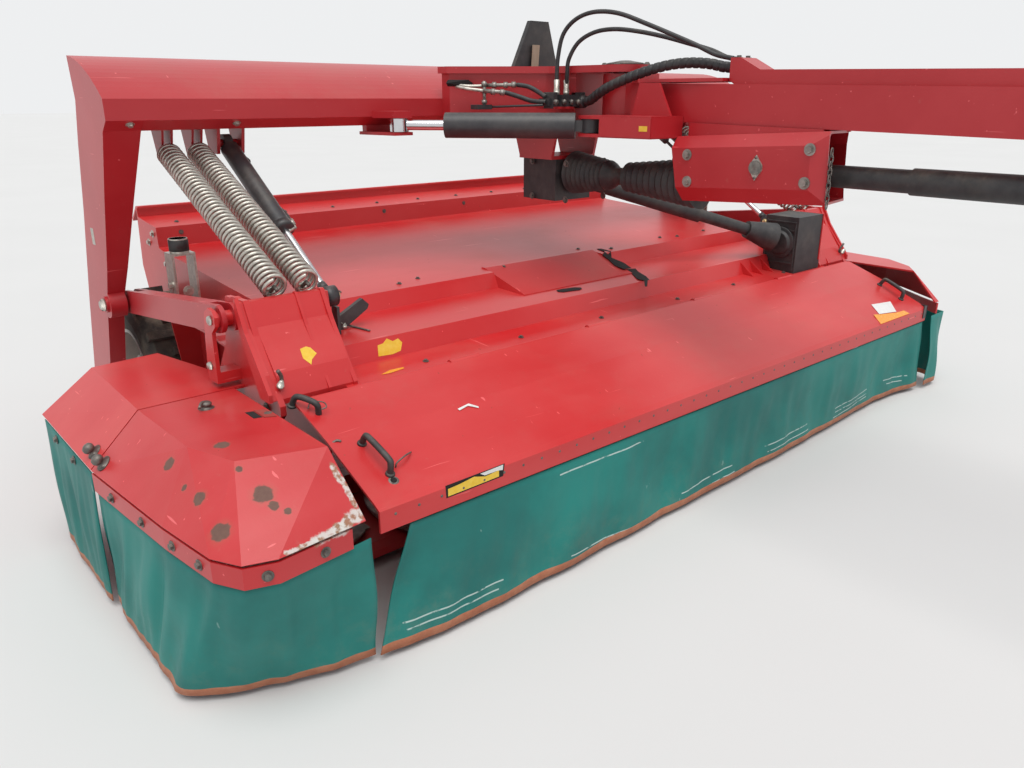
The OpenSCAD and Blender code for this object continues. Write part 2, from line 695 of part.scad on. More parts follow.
module hood() {
    color(red) {
        plate_yz(-wall_x, 2 * wall_x, concat(roof_line, roof_lip));
        // Bent plate over the roof's step at the middle
        plate_yz(-430, 650, [[-500, roof_z(-500)], [-500, roof_z(-500) + 4], [-250, roof_z(-250) + 6],
            [-230, roof_z(-230) + 5], [-230, roof_z(-230)], [-310, 740], [-340, 680]]);
        // Stiffeners under the roof
        for (i = [-5:2:5]) let (x = i / 5 * (wall_x - 154))
            plate_yz(x - 4, 8, [[-780, hood_front_z - sheet_t], [-640, 598], [-614, 664],
                [-540, 664], [-600, 560], [-780, 560]]);
        // Hinge pin of the front cover in its lugs
        bar_x(-front_cover_w / 2, front_cover_w / 2, cover_hinge, cover_pin_r);
        for (i = [-2:2]) let (x = i * lug_pitch)
            plate_yz(x - 10, 20, [[hood_front_y + 20, hood_front_z - sheet_t],
                [hood_front_y + 20, 560], [cover_hinge[0] - 8, 578],
                [cover_hinge[0] - 8, cover_hinge[1] - 2], [hood_front_y, hood_front_z - sheet_t]]);
    }
}

module side_walls() {
    guard_y = 246;
    wall = [[-398, 60], [-398, 150], [-620, 300], [-780, 560], [-780, hood_front_z - sheet_t],
            [-644, 606 - sheet_t], [-616, 672 - sheet_t], [-336, 680 - sheet_t],
            [-306, 740 - sheet_t], [750, 805 - sheet_t], [772 + sheet_t, 812 - sheet_t],
            [778 + sheet_t, 896 - sheet_t], [1008, 912], [1030, 700], [900, 330], [350, 100], [-200, 60]];
    color(red) both_sides() {
        plate_yz(-wall_x, 8, wall);
        // Guard panel in front of the wheel's inner half
        translate([0, guard_y, 0]) rotate([90, 0, 0]) linear_extrude(8)
            polygon([[-wall_x, 350], [-wall_x, 662], [-end_plate_x + 56, 662], [-end_plate_x + 92, 350]]);
        plate_yz(-wall_x - 60, 8, [[guard_y - 8, 350], [guard_y - 8, 662], [guard_y - 60, 662], [guard_y - 30, 350]]);
    }
}

module cutterbar() {
    front = disc_y - 150;
    rear = disc_y + 250;
    color(red) {
        plate_yz(-bar_half, 2 * bar_half, [[front, 38], [front + 20, bar_top - 8], [front + 60, bar_top],
            [rear, bar_top], [rear, 24], [front + 30, 24]]);
        // Carrier tube behind the bar
        translate([-bar_half, rear, 50]) cube([2 * bar_half, 70, 90]);
    }
    // Skids under the discs, and guards between them
    color(steel) for (i = [0:disc_n - 1]) {
        x = (i - (disc_n - 1) / 2) * disc_pitch;
        plate_yz(max(-bar_half, min(bar_half - 150, x - 75)), 150, [[front - 30, 34], [front - 24, 40],
            [front + 30, 24], [rear, 24], [rear + 60, 30], [rear + 60, 22], [rear - 10, 2], [front + 70, 2]]);
    }
    // Short hubs that carry the discs
    color(steel) for (i = [0:disc_n - 1])
        translate([(i - (disc_n - 1) / 2) * disc_pitch, disc_y, bar_top - 1]) cylinder(r = 30, h = 40);
}

// One disc with its dome and two knives; phase turns the knives
module disc(i, phase) {
    x = (i - (disc_n + 1) / 2) * disc_pitch;
    color(steel) translate([x, disc_y, 0]) rotate([0, 0, phase]) {
        difference() {
            union() {
                translate([0, 0, disc_z]) intersection() {
                    rotate_extrude() polygon([[0, 0], [disc_r + 40, 0], [disc_r + 40, 6],
                        [110, 14], [85, 40], [60, 46], [0, 46]]);
                    intersection() {
                        translate([0, disc_r + 60, -1]) cylinder(r = 2 * disc_r + 8, h = 60);
                        translate([0, -disc_r - 60, -1]) cylinder(r = 2 * disc_r + 8, h = 60);
                    }
                }
                for (side = [-1, 1])
                    translate([side * (disc_r + 18), 0, knife_z + 4]) cylinder(r = 16, h = disc_z - knife_z - 4);
            }
            translate([0, 0, disc_z - 1]) cylinder(r = 30 + run, h = 20 + run);
        }
        for (side = [-1, 1]) translate([side * (disc_r + 18), 0, knife_z])
            linear_extrude(4) polygon([[-side * 20, -22], [side * (knife_r - disc_r - 18), -18],
                [side * (knife_r - disc_r - 18), 18], [-side * 20, 22]]);
    }
}

// Rotor tube with rows of swept tines
module conditioner_rotor() {
    tube_r = 105;
    rows = 4;
    per_row = 15;
    pitch = (rotor_len - 160) / per_row;
    color(red) translate([0, rotor_c[0], rotor_c[1]]) {
        rotate([0, 90, 0]) cylinder(r = tube_r, h = rotor_len, center = true);
        rotate([0, 90, 0]) cylinder(r = 30, h = 2 * wall_x - 16 - 2, center = true);
        for (row = [0:rows - 1]) for (i = [0:per_row - 1])
            rotate([row * 360 / rows, 0, 0])
                translate([-rotor_len / 2 + 80 + (i + 0.25 + (row % 2) * 0.5) * pitch, 0, 0])
                    rotate([90, 0, 90]) linear_extrude(10)
                        polygon([[-34, tube_r - 8], [34, tube_r - 8], [10, rotor_r - 4], [-24, rotor_r - 6]]);
    }
}

// End plate that carries both link pins
module end_plate() {
    nose = [[hood_front_y, hood_front_z - sheet_t], [-660, 770], [-610, 866], [-480, 858],
            [-440, 700], [-320, 540], [-300, 60], [-450, 50], [-470, 150], [-620, 400],
            [hood_front_y, 560]];
    outer = -end_plate_x;
    clevis = outer - upper_link_w - 10;
    plate_yz(outer, rib_t, nose);
    bar_x(outer, outer + rib_t, upper_front, 58);
    bar_x(outer, outer + rib_t, lower_front, 55);
    bar_x(clevis - 12, outer, upper_front, link_pin_r);
    bar_x(outer - upper_link_w - 10, outer, lower_front, link_pin_r);
    bar_x(-lower_link_x + 3, outer, lower_front, 36);
    // Outer cheek of the upper link's pin, joined on below the link
    plate_yz(clevis - 12, 12, [[-542, 610], [-542, 768], [-572, 792], [-576, 820], [-562, 838],
        [-530, 842], [-500, 824], [-482, 740], [-470, 610]]);
    translate([clevis - 12, -542, 610]) cube([outer - clevis + 14, 62, 34]);
}

module end_plates() { color(red) both_sides() end_plate(); }

// Ribs and sloped cover of the spring seat, and the shelf beside the side wall;
// what stands on the shelf is sunk into it, and what stands on the roof isn't
function seat_rib(sink) = [[-780, roof_z(-780) - sink], [-780, roof_z(-780) + 10], [-660, 776],
    [-648, 798], [-608, 866], [-594, 866], [-588, 790], [-440, 700], [-400, roof_z(-400) - sink],
    [-622, 672 - sink], [-650, 606 - sink]];
function seat_cover(sink) = [[-775, roof_z(-775) - sink], [-775, roof_z(-775) + sheet_t], [-740, 672],
    [-644, 790], [-608, 860], [-590, 862], [-590, 854], [-602, 852], [-636, 786], [-732, 668],
    [-766, roof_z(-766) + 4], [-766, roof_z(-766) - sink]];
// Outer rim of the seat, ahead of the upper link's end
seat_rim = [[-780, 602], [-780, 626], [-660, 782], [-612, 876], [-604, 872], [-608, 820], [-630, 760],
    [-700, 640], [-720, 602]];
module spring_bracket() {
    outer = -end_plate_x;
    sink = 3;
    plate_yz(outer - 26, 12, seat_rim);
    plate_yz(-half_w + 288, 10, seat_rib(sink));
    plate_yz(-half_w + 372, 14, seat_rib(0));
    plate_yz(outer - 18, 18, seat_cover(-6));
    plate_yz(outer + rib_t, end_plate_x - rib_t - wall_x, seat_cover(sink));
    plate_yz(-wall_x - 16, wall_x + 16 - half_w + 379, seat_cover(0));
    plate_yz(outer + rib_t, end_plate_x - rib_t - wall_x, sheet_outline([[-775, roof_z(-775)],
        [-650, 606], [-622, 672], [-340, 680], [-310, 690], [200, 690]], sheet_t));
    // Ears for the lift cylinder's rod eye
    plate_yz(-lift_x - 34, ear_t, [[-560, roof_z(-560)], [-440, roof_z(-440)], [-466, 836], [-534, 836]]);
    bar_x(-lift_x - 42, -lift_x - 34, lift_foot, lift_pin_r);
}

module spring_brackets() { color(red) both_sides() spring_bracket(); }

stop_y = 130;             // rubber stops, behind the beam's front face
module bump_stops() {
    stop_x = -end_plate_x + 90;
    both_sides() {
        color(steel) difference() {
            translate([stop_x - 42, stop_y - 38, 690]) cube([84, 76, 206]);
            translate([stop_x - 34, stop_y - 39, 680]) cube([68, 78, 208]);
        }
        color(black) translate([stop_x, stop_y, 896]) cylinder(r = 33, h = 50);
    }
}

header_box = [[end_plate_x - 516, end_plate_x - 296], [-780, -600], [600, 870]]; // x, y and z ranges
module header_gearbox() {
    color(black) {
        plate_yz(header_box[0][0], header_box[0][1] - header_box[0][0], [[header_box[1][0], roof_z(header_box[1][0])],
            [-650, 606], [-622, 672], [-600, roof_z(-600)], [-600, header_box[2][1]],
            [header_box[1][0], header_box[2][1]]]);
    }
    color(red) plate_yz(header_box[0][1], 16, [[header_box[1][0], roof_z(header_box[1][0])],
            [-650, 606], [-622, 672], [-600, roof_z(-600)], [-600, 862], [header_box[1][0], 862]]);
}

module swath_shields() {
    color(red) both_sides()
        translate([254 - wall_x, 620, 0]) rotate([0, 0, -14])
            translate([0, 0, 150]) cube([8, 460, 520]);
}

// Outlines of the side covers in plan, from the rear to the front; x is counted
// outwards from the end plates. The left cover tapers more towards the front than the right one.
function beside_plates(line) = [for (p = line) p + [end_plate_x, 0]];
right_edge = beside_plates([[460, 0], [460, -560], [442, -760], [420, -1000], [390, -1216], [349, -1292],
              [274, -1318], [74, -1296]]);
left_edge = beside_plates([[438, 0], [438, -560], [420, -700], [370, -840], [279, -980], [149, -1150],
             [74, -1262]]);
right_curtain = beside_plates([[458, -564], [440, -760], [418, -1000], [388, -1214], [347, -1290],
                 [274, -1314], [74, -1292]]);
left_curtain = beside_plates([[436, -564], [418, -700], [368, -840], [277, -980], [204, -1100],
                [164, -1268], [24, -1268]]);

// Sloping roof between an outer edge low down and an inner edge high up
module side_roof(outer, inner) {
    difference() {
        hull() {
            plate_xy(side_edge_z, 1, outer);
            plate_xy(side_top_z - 1, 1, inner);
        }
        hull() {
            plate_xy(side_edge_z - 1 - sheet_t, 1, outer);
            plate_xy(side_top_z - 1 - sheet_t, 1, inner);
        }
    }
}

// The point where a strip of width t turns at point i of a line, on the line's right
function strip_corner(line, i, t) =
    let (last = len(line) - 1,
         before = unit(line[max(i, 1)] - line[max(i, 1) - 1]),
         after = unit(line[min(i, last - 1) + 1] - line[min(i, last - 1)]),
         a = [before[1], -before[0]], b = [after[1], -after[0]])
    line[i] + t * (a + b) / (1 + a * b);
function strip(line, t) =
    concat(line, [for (i = [len(line) - 1:-1:0]) strip_corner(line, i, t)]);
function mirrored(line) = [for (p = line) [-p[0], p[1]]];

// A wall of thickness t under a line in plan, between two heights
module wall_under(line, low, top, t) { plate_xy(low, top - low, strip(line, t)); }

function cover_edge(edge) = concat([[edge[1][0], split_y - side_split_gap]],
    [for (i = [2:len(edge) - 1]) edge[i]]);
function cover_outer(edge) = concat([[side_hinge[0], split_y - side_split_gap]], cover_edge(edge),
    [[side_hinge[0], edge[len(edge) - 1][1]]]);
function cover_inner(edge) = [[side_hinge[0], split_y - side_split_gap],
    [edge[1][0] - 146, split_y - side_split_gap], [edge[3][0] - 116, -900],
    [edge[4][0] - 140, -1060], [side_hinge[0], -1130]];

module side_cover(edge) {
    side_roof(cover_outer(edge), cover_inner(edge));
    wall_under(cover_edge(edge), side_edge_z - flange_h, side_edge_z - sheet_t, sheet_t);
}

module side_cover_right() { color(red) mirror([1, 0, 0]) side_cover(right_edge); }
module side_cover_left() { color(red) side_cover(left_edge); }

// Rear side panel: its inner rear corner is cut away for the upper link
module rear_side_panel(edge) {
    x = edge[1][0];
    inner = end_plate_x + 88;   // clears the upper link when the header is up
    side_roof([[inner, 0], [x, 0], [x, split_y], [end_plate_x, split_y], [end_plate_x, -440], [inner, -440]],
              [[inner, -40], [x - 156, -60], [x - 146, split_y], [end_plate_x, split_y],
               [end_plate_x, -440], [inner, -440]]);
}
module rear_side_panels() {
    color(red) {
        mirror([1, 0, 0]) rear_side_panel(right_edge);
        rear_side_panel(left_edge);
    }
}

module rear_side_curtain(edge) {
    x = edge[1][0] - 4;
    wall_under([[x, -10], [x, split_y + 8]], curtain_gap, side_edge_z - sheet_t - 1, curtain_t);
}
module rear_side_curtains() {
    color(green) {
        mirror([1, 0, 0]) rear_side_curtain(right_edge);
        rear_side_curtain(left_edge);
    }
}

module side_curtain(line) {
    wall_under(line, curtain_gap, side_edge_z - flange_h - 4, curtain_t);
}
module side_curtain_right() { color(green) mirror([1, 0, 0]) side_curtain(right_curtain); }
module side_curtain_left() { color(green) side_curtain(left_curtain); }

module front_cover() {
    half = front_cover_w / 2;
    color(red) difference() {
        union() {
            plate_yz(-half, front_cover_w, sheet_outline([[cover_hinge[0] - 12, cover_hinge[1] + 10],
                [-1000, 540], [-cover_lip_y + 20, cover_lip_z + 12], [-cover_lip_y, cover_lip_z]], sheet_t));
            translate([-half, -cover_lip_y, cover_lip_z - flange_h])
                cube([front_cover_w, sheet_t, flange_h]);
            for (i = [-3:2:3]) let (x = i / 2 * lug_pitch)
                bar_x(x - 60, x + 60, cover_hinge, 15);
        }
        bar_x(-half - 10, half + 10, cover_hinge, cover_pin_r + run);
    }
}

module front_curtain() {
    color(green) translate([-front_cover_w / 2 + 10, -cover_lip_y + sheet_t / 2 - curtain_t / 2, curtain_gap])
        cube([front_cover_w - 20, curtain_t, cover_lip_z - flange_h - 6 - curtain_gap]);
}

module at_cylinder_axis(top, foot, x) {
    along([x, top[0], top[1]], [x, foot[0], foot[1]]) children();
}

lift_len = norm(lift_foot - lift_top);
lift_barrel_len = 500;
module lift_barrels() {
    color(black) both_sides() difference() {
        union() {
            at_cylinder_axis(lift_top, lift_foot, -lift_x)
                translate([0, 0, 36]) cylinder(r = lift_barrel_r, h = lift_barrel_len - 36);
            bar_x(-lift_x - 15, -lift_x + 15, lift_top, eye_r);
        }
        at_cylinder_axis(lift_top, lift_foot, -lift_x) {
            translate([0, 0, 60]) cylinder(r = lift_rod_r + run, h = lift_barrel_len);
        }
        bar_x(-lift_x - 60, -lift_x + 60, lift_top, lift_pin_r + run);
    }
}

module lift_rods() {
    inside = 180;
    color(steel) both_sides() {
        at_cylinder_axis(lift_top, lift_foot, -lift_x)
            translate([0, 0, lift_barrel_len - inside])
                cylinder(r = lift_rod_r, h = lift_len - lift_barrel_len + inside - 20);
        bar_x(-lift_x - 18, -lift_x + 18, lift_foot, 30);
    }
}

module springs() {
    spring_len = norm(spring_foot - spring_top);
    coil_r = spring_d / 2;
    color(steel) both_sides() for (x = spring_planes)
        at_cylinder_axis(spring_top, spring_foot, -x) {
            translate([0, 0, 34]) difference() {
                cylinder(r = coil_r, h = spring_len - 90);
                translate([0, 0, 10]) cylinder(r = coil_r - spring_wire, h = spring_len - 110);
            }
            translate([0, 0, 12]) cylinder(r = 7, h = 30);
            translate([0, 0, spring_len - 60]) cylinder(r = 7, h = 32);
        }
}

shaft_start = [175, -230, 1070];
shaft_end = [header_box[0][0] - 20, -690, 760];
shaft_dir = unit(shaft_end - shaft_start);
shaft_len = norm(shaft_end - shaft_start);
module side_shaft_outer() {
    color(black) along(shaft_start, shaft_end) {
        cylinder(r = 30, h = 60);
        difference() {
            translate([0, 0, 50]) cylinder(r = 36, h = 560);
            translate([0, 0, 200]) cylinder(r = 28 + run, h = 500);
        }
    }
}
module side_shaft_inner() {
    color(black) along(shaft_start, shaft_end) {
        translate([0, 0, 420]) cylinder(r = 28, h = shaft_len - 420 - 120);
        translate([0, 0, shaft_len - 190]) cylinder(r1 = 40, r2 = 70, h = 150);
    }
}

module machine() { translate([0, shift_y, 0]) children(); }

machine() beam();
machine() steer_anchor();
machine() legs();
machine() pivot_box();
machine() pivot_gearbox();
machine() bellows_rear();
machine() marker_board();
machine() valve_block();
machine() hose_loops();
machine() hose_bundle();
machine() at_wheel(-1) tyre();  // tyre_right
machine() at_wheel(-1) rim();  // rim_right
machine() at_wheel(1) mirror([1, 0, 0]) tyre();  // tyre_left
machine() at_wheel(1) mirror([1, 0, 0]) rim();  // rim_left
machine() drawbar();
machine() drawbar_nose();
machine() hose_duct();
machine() pto_box();
machine() pto_guard();
machine() bellows_front();
machine() jack_leg();
machine() steer_barrel();
machine() steer_rod();
machine() upper_links();
machine() lower_links();
machine() hood();
machine() side_walls();
machine() cutterbar();
machine() end_plates();
machine() spring_brackets();
machine() bump_stops();
machine() header_gearbox();
machine() swath_shields();
machine() rear_side_panels();
machine() rear_side_curtains();
machine() lift_barrels();
machine() lift_rods();
machine() springs();
machine() side_shaft_outer();
machine() side_shaft_inner();
machine() front_cover();
machine() front_curtain();
machine() side_cover_right();
machine() side_cover_left();
machine() side_curtain_right();
machine() side_curtain_left();
machine() disc(1, 0);  // disc_1
machine() disc(2, 90);  // disc_2
machine() disc(3, 0);  // disc_3
machine() disc(4, 90);  // disc_4
machine() disc(5, 0);  // disc_5
machine() disc(6, 90);  // disc_6
machine() disc(7, 0);  // disc_7
machine() disc(8, 90);  // disc_8
machine() disc(9, 0);  // disc_9
machine() conditioner_rotor();
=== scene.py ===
"""Looks of the trailed disc mower conditioner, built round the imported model.

Places are written in millimetres from the front face of the cross beam, as the
source of the solids has them; spot() turns them into metres in the row frame.
"""
import math

import bpy
from mathutils import Matrix, Vector, noise


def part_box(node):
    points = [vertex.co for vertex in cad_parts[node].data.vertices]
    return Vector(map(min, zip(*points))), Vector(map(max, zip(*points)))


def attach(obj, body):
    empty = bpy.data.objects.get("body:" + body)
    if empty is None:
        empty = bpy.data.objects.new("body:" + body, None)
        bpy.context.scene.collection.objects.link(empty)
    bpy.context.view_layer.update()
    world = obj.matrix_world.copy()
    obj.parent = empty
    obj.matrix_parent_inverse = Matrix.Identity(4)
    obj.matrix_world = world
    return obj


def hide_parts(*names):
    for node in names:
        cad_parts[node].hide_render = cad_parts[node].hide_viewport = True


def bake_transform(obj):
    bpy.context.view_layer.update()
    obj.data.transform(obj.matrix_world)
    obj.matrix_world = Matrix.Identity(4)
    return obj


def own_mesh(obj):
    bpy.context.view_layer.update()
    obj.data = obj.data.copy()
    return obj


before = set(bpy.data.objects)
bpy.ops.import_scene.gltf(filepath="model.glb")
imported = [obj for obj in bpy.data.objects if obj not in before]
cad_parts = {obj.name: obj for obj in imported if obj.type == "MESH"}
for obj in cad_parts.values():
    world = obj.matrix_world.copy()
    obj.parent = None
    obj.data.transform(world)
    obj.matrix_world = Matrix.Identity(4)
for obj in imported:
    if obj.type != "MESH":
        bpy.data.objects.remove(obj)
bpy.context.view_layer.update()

BEAM_FACE_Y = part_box("drawbar_nose")[0][1] + 4.76   # the drawbar's nose reaches 4.76 m ahead of the beam


def spot(x, y, z):
    return Vector((x / 1000, y / 1000 + BEAM_FACE_Y, z / 1000))


def linked(name, data):
    """A new object in the scene."""
    made = bpy.data.objects.new(name, data)
    bpy.context.scene.collection.objects.link(made)
    return made


# -------- camera

camera = linked("camera", bpy.data.cameras.new("camera"))
camera.location = spot(-2532, -2834, 1420)
camera.rotation_euler = [math.radians(a) for a in (70.4, 0, -41.1)]
camera.data.sensor_width = 36
camera.data.lens = 28.27
bpy.context.scene.camera = camera


# -------- node trees

class Wire:
    """The output of a node. Arithmetic on it adds Math nodes to its tree."""

    def __init__(self, tree, socket):
        self.tree, self.socket = tree, socket

    def math(self, operation, *others):
        return self.tree.node("ShaderNodeMath", {"operation": operation}, self, *others)

    def out(self, name):
        return Wire(self.tree, self.socket.node.outputs[name])

    def __add__(self, other):
        return self.math("ADD", other)

    __radd__ = __add__

    def __mul__(self, other):
        return self.math("MULTIPLY", other)

    def __sub__(self, other):
        return self.math("SUBTRACT", other)

    def between(self, low, high):
        """0 below low, 1 above high, smooth in between; low may be the larger one."""
        return self.tree.node("ShaderNodeMapRange", {"interpolation_type": "SMOOTHSTEP"},
                              self, low, high, 0.0, 1.0)

    def most(self, other):
        return self.math("MAXIMUM", other)


class Tree:
    """A node tree with one way to add any node."""

    def __init__(self, tree):
        self.tree = tree

    def feed(self, socket, value):
        if isinstance(value, Wire):
            self.tree.links.new(value.socket, socket)
        elif value is not None:
            socket.default_value = value

    def node(self, kind, settings=None, *values, output=0, **sockets):
        made = self.tree.nodes.new(kind)
        for key, value in (settings or {}).items():
            setattr(made, key, value)
        for socket, value in zip(made.inputs, values):
            self.feed(socket, value)
        for key, value in sockets.items():
            self.feed(made.inputs[key.replace("_", " ")], value)
        return Wire(self, made.outputs[output]) if made.outputs else made


class Finish(Tree):
    """A material. Its patterns are laid out in Object coordinates, in metres."""

    def __init__(self, name):
        self.material = bpy.data.materials.new(name)
        self.material.use_nodes = True
        super().__init__(self.material.node_tree)
        self.tree.nodes.clear()
        coordinates = self.node("ShaderNodeTexCoord", output="Object")
        self.place = coordinates
        self.up = self.node("ShaderNodeSeparateXYZ", None, coordinates.out("Normal"), output="Z")

    def noise(self, scale, detail=3.0, roughness=0.55, stretch=None):
        vector = self.place
        if stretch:
            vector = self.node("ShaderNodeMapping", None, Vector=vector, Scale=stretch)
        return self.node("ShaderNodeTexNoise", None, Vector=vector, Scale=scale, Detail=detail,
                         Roughness=roughness, output="Fac")

    def mix(self, share, a, b):
        made = self.tree.nodes.new("ShaderNodeMix")
        made.data_type = "RGBA"
        for index, value in ((0, share), (6, a), (7, b)):
            if isinstance(value, tuple):
                value = (*value, 1)
            self.feed(made.inputs[index], value)
        return Wire(self, made.outputs[2])

    def vector(self, operation, *values, output="Vector", **sockets):
        return self.node("ShaderNodeVectorMath", {"operation": operation}, *values, output=output, **sockets)

    def near(self, place, radius, ragged=0.0, soft=0.35):
        """1 within radius millimetres of a place, 0 outside, with a ragged edge."""
        away = self.vector("DISTANCE", self.place, tuple(spot(*place)), output="Value")
        if ragged:
            away = away + (self.noise(900 / radius, 3) - 0.5) * (ragged * radius / 1000)
        return away.between(radius / 1000 * (1 + soft), radius / 1000 * (1 - soft))

    def stroke(self, place, first, last, half, ragged=0.0):
        """1 within a half width of the line between two points, 0 outside; all in metres."""
        way = Vector(last) - Vector(first)
        off = self.vector("SUBTRACT", place, tuple(first))
        share = self.vector("DOT_PRODUCT", off, tuple(way / way.length_squared), output="Value")
        share = share.math("MAXIMUM", 0.0).math("MINIMUM", 1.0)
        foot = self.vector("SCALE", tuple(way), Scale=share)
        away = self.vector("DISTANCE", off, foot, output="Value")
        if ragged:
            away = away + (self.noise(0.7 / half, 5, 0.65) - 0.5) * (ragged * half)
        return away.between(half * 1.3, half * 0.7)

    def bump(self, height, distance, strength=1.0, normal=None):
        return self.node("ShaderNodeBump", None, Strength=strength, Distance=distance,
                         Height=height, Normal=normal, output="Normal")

    def shine(self, colour, roughness, normal=None, metallic=0.0, **sockets):
        """Ends the material in one Principled shader."""
        shader = self.node("ShaderNodeBsdfPrincipled", None, Metallic=metallic, **sockets)
        for name, value in (("Base Color", colour), ("Roughness", roughness), ("Normal", normal)):
            if isinstance(value, tuple):
                value = (*value, 1)
            self.feed(shader.socket.node.inputs[name], value)
        self.node("ShaderNodeOutputMaterial", None, shader)
        return self.material


DUST = (0.34, 0.29, 0.22)
RUST = (0.16, 0.07, 0.035)


def red_paint(name, colour, faded, worn=0.35, marks=(), bare=(), glossy=0.3):
    """Faded gloss red on sheet metal: cloudy, scratched, dusty on top, with marks of rust and bare metal."""
    f = Finish(name)
    cloud = f.noise(1.3, 5, 0.6)
    streak = f.noise(2.0, 4, 0.6, stretch=(0.35, 1.6, 1.6))
    paint = f.mix((cloud * 0.6 + streak * 0.5).between(0.38, 0.78), colour, faded)
    scratch = f.noise(13, 2, 0.5, stretch=(0.25, 5, 5)).between(0.72, 0.76)
    scratch = scratch.most(f.noise(11, 2, 0.5, stretch=(5, 0.3, 4)).between(0.735, 0.765))
    paint = f.mix(scratch * 0.5, paint, tuple(min(1, c * 1.5 + 0.14) for c in faded))
    dust = f.up.between(0.3, 1.0) * f.noise(3.1, 6, 0.7).between(0.42, 0.85)
    dust = (dust * 0.16 + f.noise(38, 3, 0.6).between(0.66, 0.8) * 0.1)
    paint = f.mix(dust, paint, DUST)
    chip = f.noise(46, 2, 0.5).between(0.765, 0.785) * worn
    paint = f.mix(chip, paint, RUST)
    rust = chip
    for place, radius in marks:
        mark = f.near(place, radius, 1.1, 0.12)
        edge = f.near(place, radius * 1.25, 1.0)
        paint = f.mix(edge * 0.3, paint, (0.36, 0.1, 0.06))
        paint = f.mix(mark * 0.9, paint, f.mix(f.noise(90, 4), (0.06, 0.045, 0.038), (0.15, 0.1, 0.07)))
        rust = rust.most(mark)
    for first, last, half in bare:
        patch = f.stroke(f.place, spot(*first), spot(*last), half / 1000, 2.2)
        steel = f.mix(f.noise(60, 4).between(0.45, 0.62), (0.62, 0.6, 0.56), (0.3, 0.16, 0.09))
        paint = f.mix(patch * 0.9, paint, steel)
    rough = glossy + cloud * 0.16 + dust * 0.6 + rust * 0.4
    dents = f.noise(2.6, 2, 0.4)
    grain = f.noise(130, 2, 0.5)
    normal = f.bump(dents, 0.012, 0.35)
    normal = f.bump(grain + rust * 0.6, 0.0006, 0.35, normal)
    return f.shine(paint, rough, normal, Coat_Weight=0.15, Coat_Roughness=0.2)


def dull(name, colour, light, scale=30, rough=0.6, dust=0.35, bump=0.0008, metallic=0.0, stretch=None):
    """Plain painted, moulded or galvanised stuff: mottled, with dust where it faces up."""
    f = Finish(name)
    grain = f.noise(scale, 5, 0.6, stretch=stretch)
    body = f.mix(grain.between(0.3, 0.75), colour, light)
    layer = (f.up.between(0.0, 1.0) * 0.7 + 0.3) * f.noise(9, 6, 0.7).between(0.4, 0.8) * dust
    body = f.mix(layer, body, DUST)
    return f.shine(body, rough + (grain - 0.5) * 0.2 + layer * 0.2,
                   f.bump(grain, bump, 0.5), metallic=metallic)


CLOTH_LINES = (
    (-936, 56, -586, 39), (-350, 69, -35, 81), (-335, 37, -14, 48), (-390, 10, 42, 20),
    (211, 86, 546, 90), (227, 58, 561, 62), (216, 34, 580, 36), (803, 94, 1112, 110),
    (809, 74, 1114, 86), (793, 50, 1119, 71), (-1546, 65, -1239, 67), (-1552, 86, -1221, 91),
    (-1540, 39, -1367, 36), (-954, 330, -558, 327), (1290, 112, 1500, 96), (1330, 86, 1470, 74),
)


def curtain_cloth(name, colour, deep, lines=()):
    """Coated cloth, slightly glossy, with soft stains, scuffs and thin white lines in millimetres of x and z."""
    f = Finish(name)
    cloud = f.noise(2.4, 5, 0.6)
    cloth = f.mix(cloud.between(0.35, 0.7), colour, deep)
    height = f.node("ShaderNodeSeparateXYZ", None, f.place, output="Z")
    splash = height.between(0.3, 0.02) * f.noise(14, 6, 0.75).between(0.45, 0.8)
    cloth = f.mix(splash * 0.3, cloth, (0.25, 0.26, 0.2))
    scuff = f.noise(26, 3, 0.5, stretch=(1, 1, 0.4)).between(0.735, 0.77)
    cloth = f.mix(scuff * 0.35, cloth, (0.45, 0.62, 0.56))
    front_view = f.vector("MULTIPLY", f.place, (1, 0, 1))
    worn = f.noise(60, 3, 0.6, stretch=(0.5, 1, 1)).between(0.34, 0.5) * 0.75
    rubbed = 0.0
    for x, z, last_x, last_z in lines:
        line = f.stroke(front_view, (x / 1000, 0, z / 1000), (last_x / 1000, 0, last_z / 1000), 0.0022)
        rubbed = line.most(rubbed)
    if lines:
        cloth = f.mix(rubbed * worn, cloth, (0.62, 0.72, 0.68))
    weave = f.noise(420, 2, 0.5)
    normal = f.bump(f.noise(7, 3, 0.5), 0.006, 0.4)
    normal = f.bump(weave, 0.0004, 0.3, normal)
    return f.shine(cloth, 0.42 + cloud * 0.2 + splash * 0.4, normal)


frame_red = red_paint("frame_red", (0.42, 0.012, 0.018), (0.49, 0.03, 0.036), worn=0.25)
cover_red = red_paint("cover_red", (0.55, 0.014, 0.017), (0.62, 0.048, 0.048), worn=0.5)
worn_red = red_paint("worn_red", (0.3, 0.03, 0.026), (0.38, 0.07, 0.05), worn=1.0, glossy=0.5)
side_red = red_paint(
    "side_cover_red", (0.5, 0.014, 0.018), (0.57, 0.044, 0.048), worn=0.8,
    marks=(((-1859, -946, 592), 19), ((-1971, -873, 548), 18), ((-1856, -1165, 540), 24),
           ((-1850, -1205, 522), 13), ((-1969, -1058, 524), 18), ((-1975, -1185, 491), 24),
           ((-1875, -1083, 580), 9), ((-1978, -987, 527), 9), ((-1829, -1231, 510), 9)),
    bare=(((-1668, -1278, 468), (-1735, -1299, 455), 17), ((-1725, -1298, 456), (-1800, -1306, 452), 13),
          ((-1790, -1306, 452), (-1880, -1309, 451), 7), ((-1669, -1262, 482), (-1669, -1215, 520), 7),
          ((-1672, -1205, 528), (-1676, -1168, 552), 10)))
black_plastic = dull("black_plastic", (0.02, 0.02, 0.022), (0.045, 0.044, 0.045), 22, 0.55)
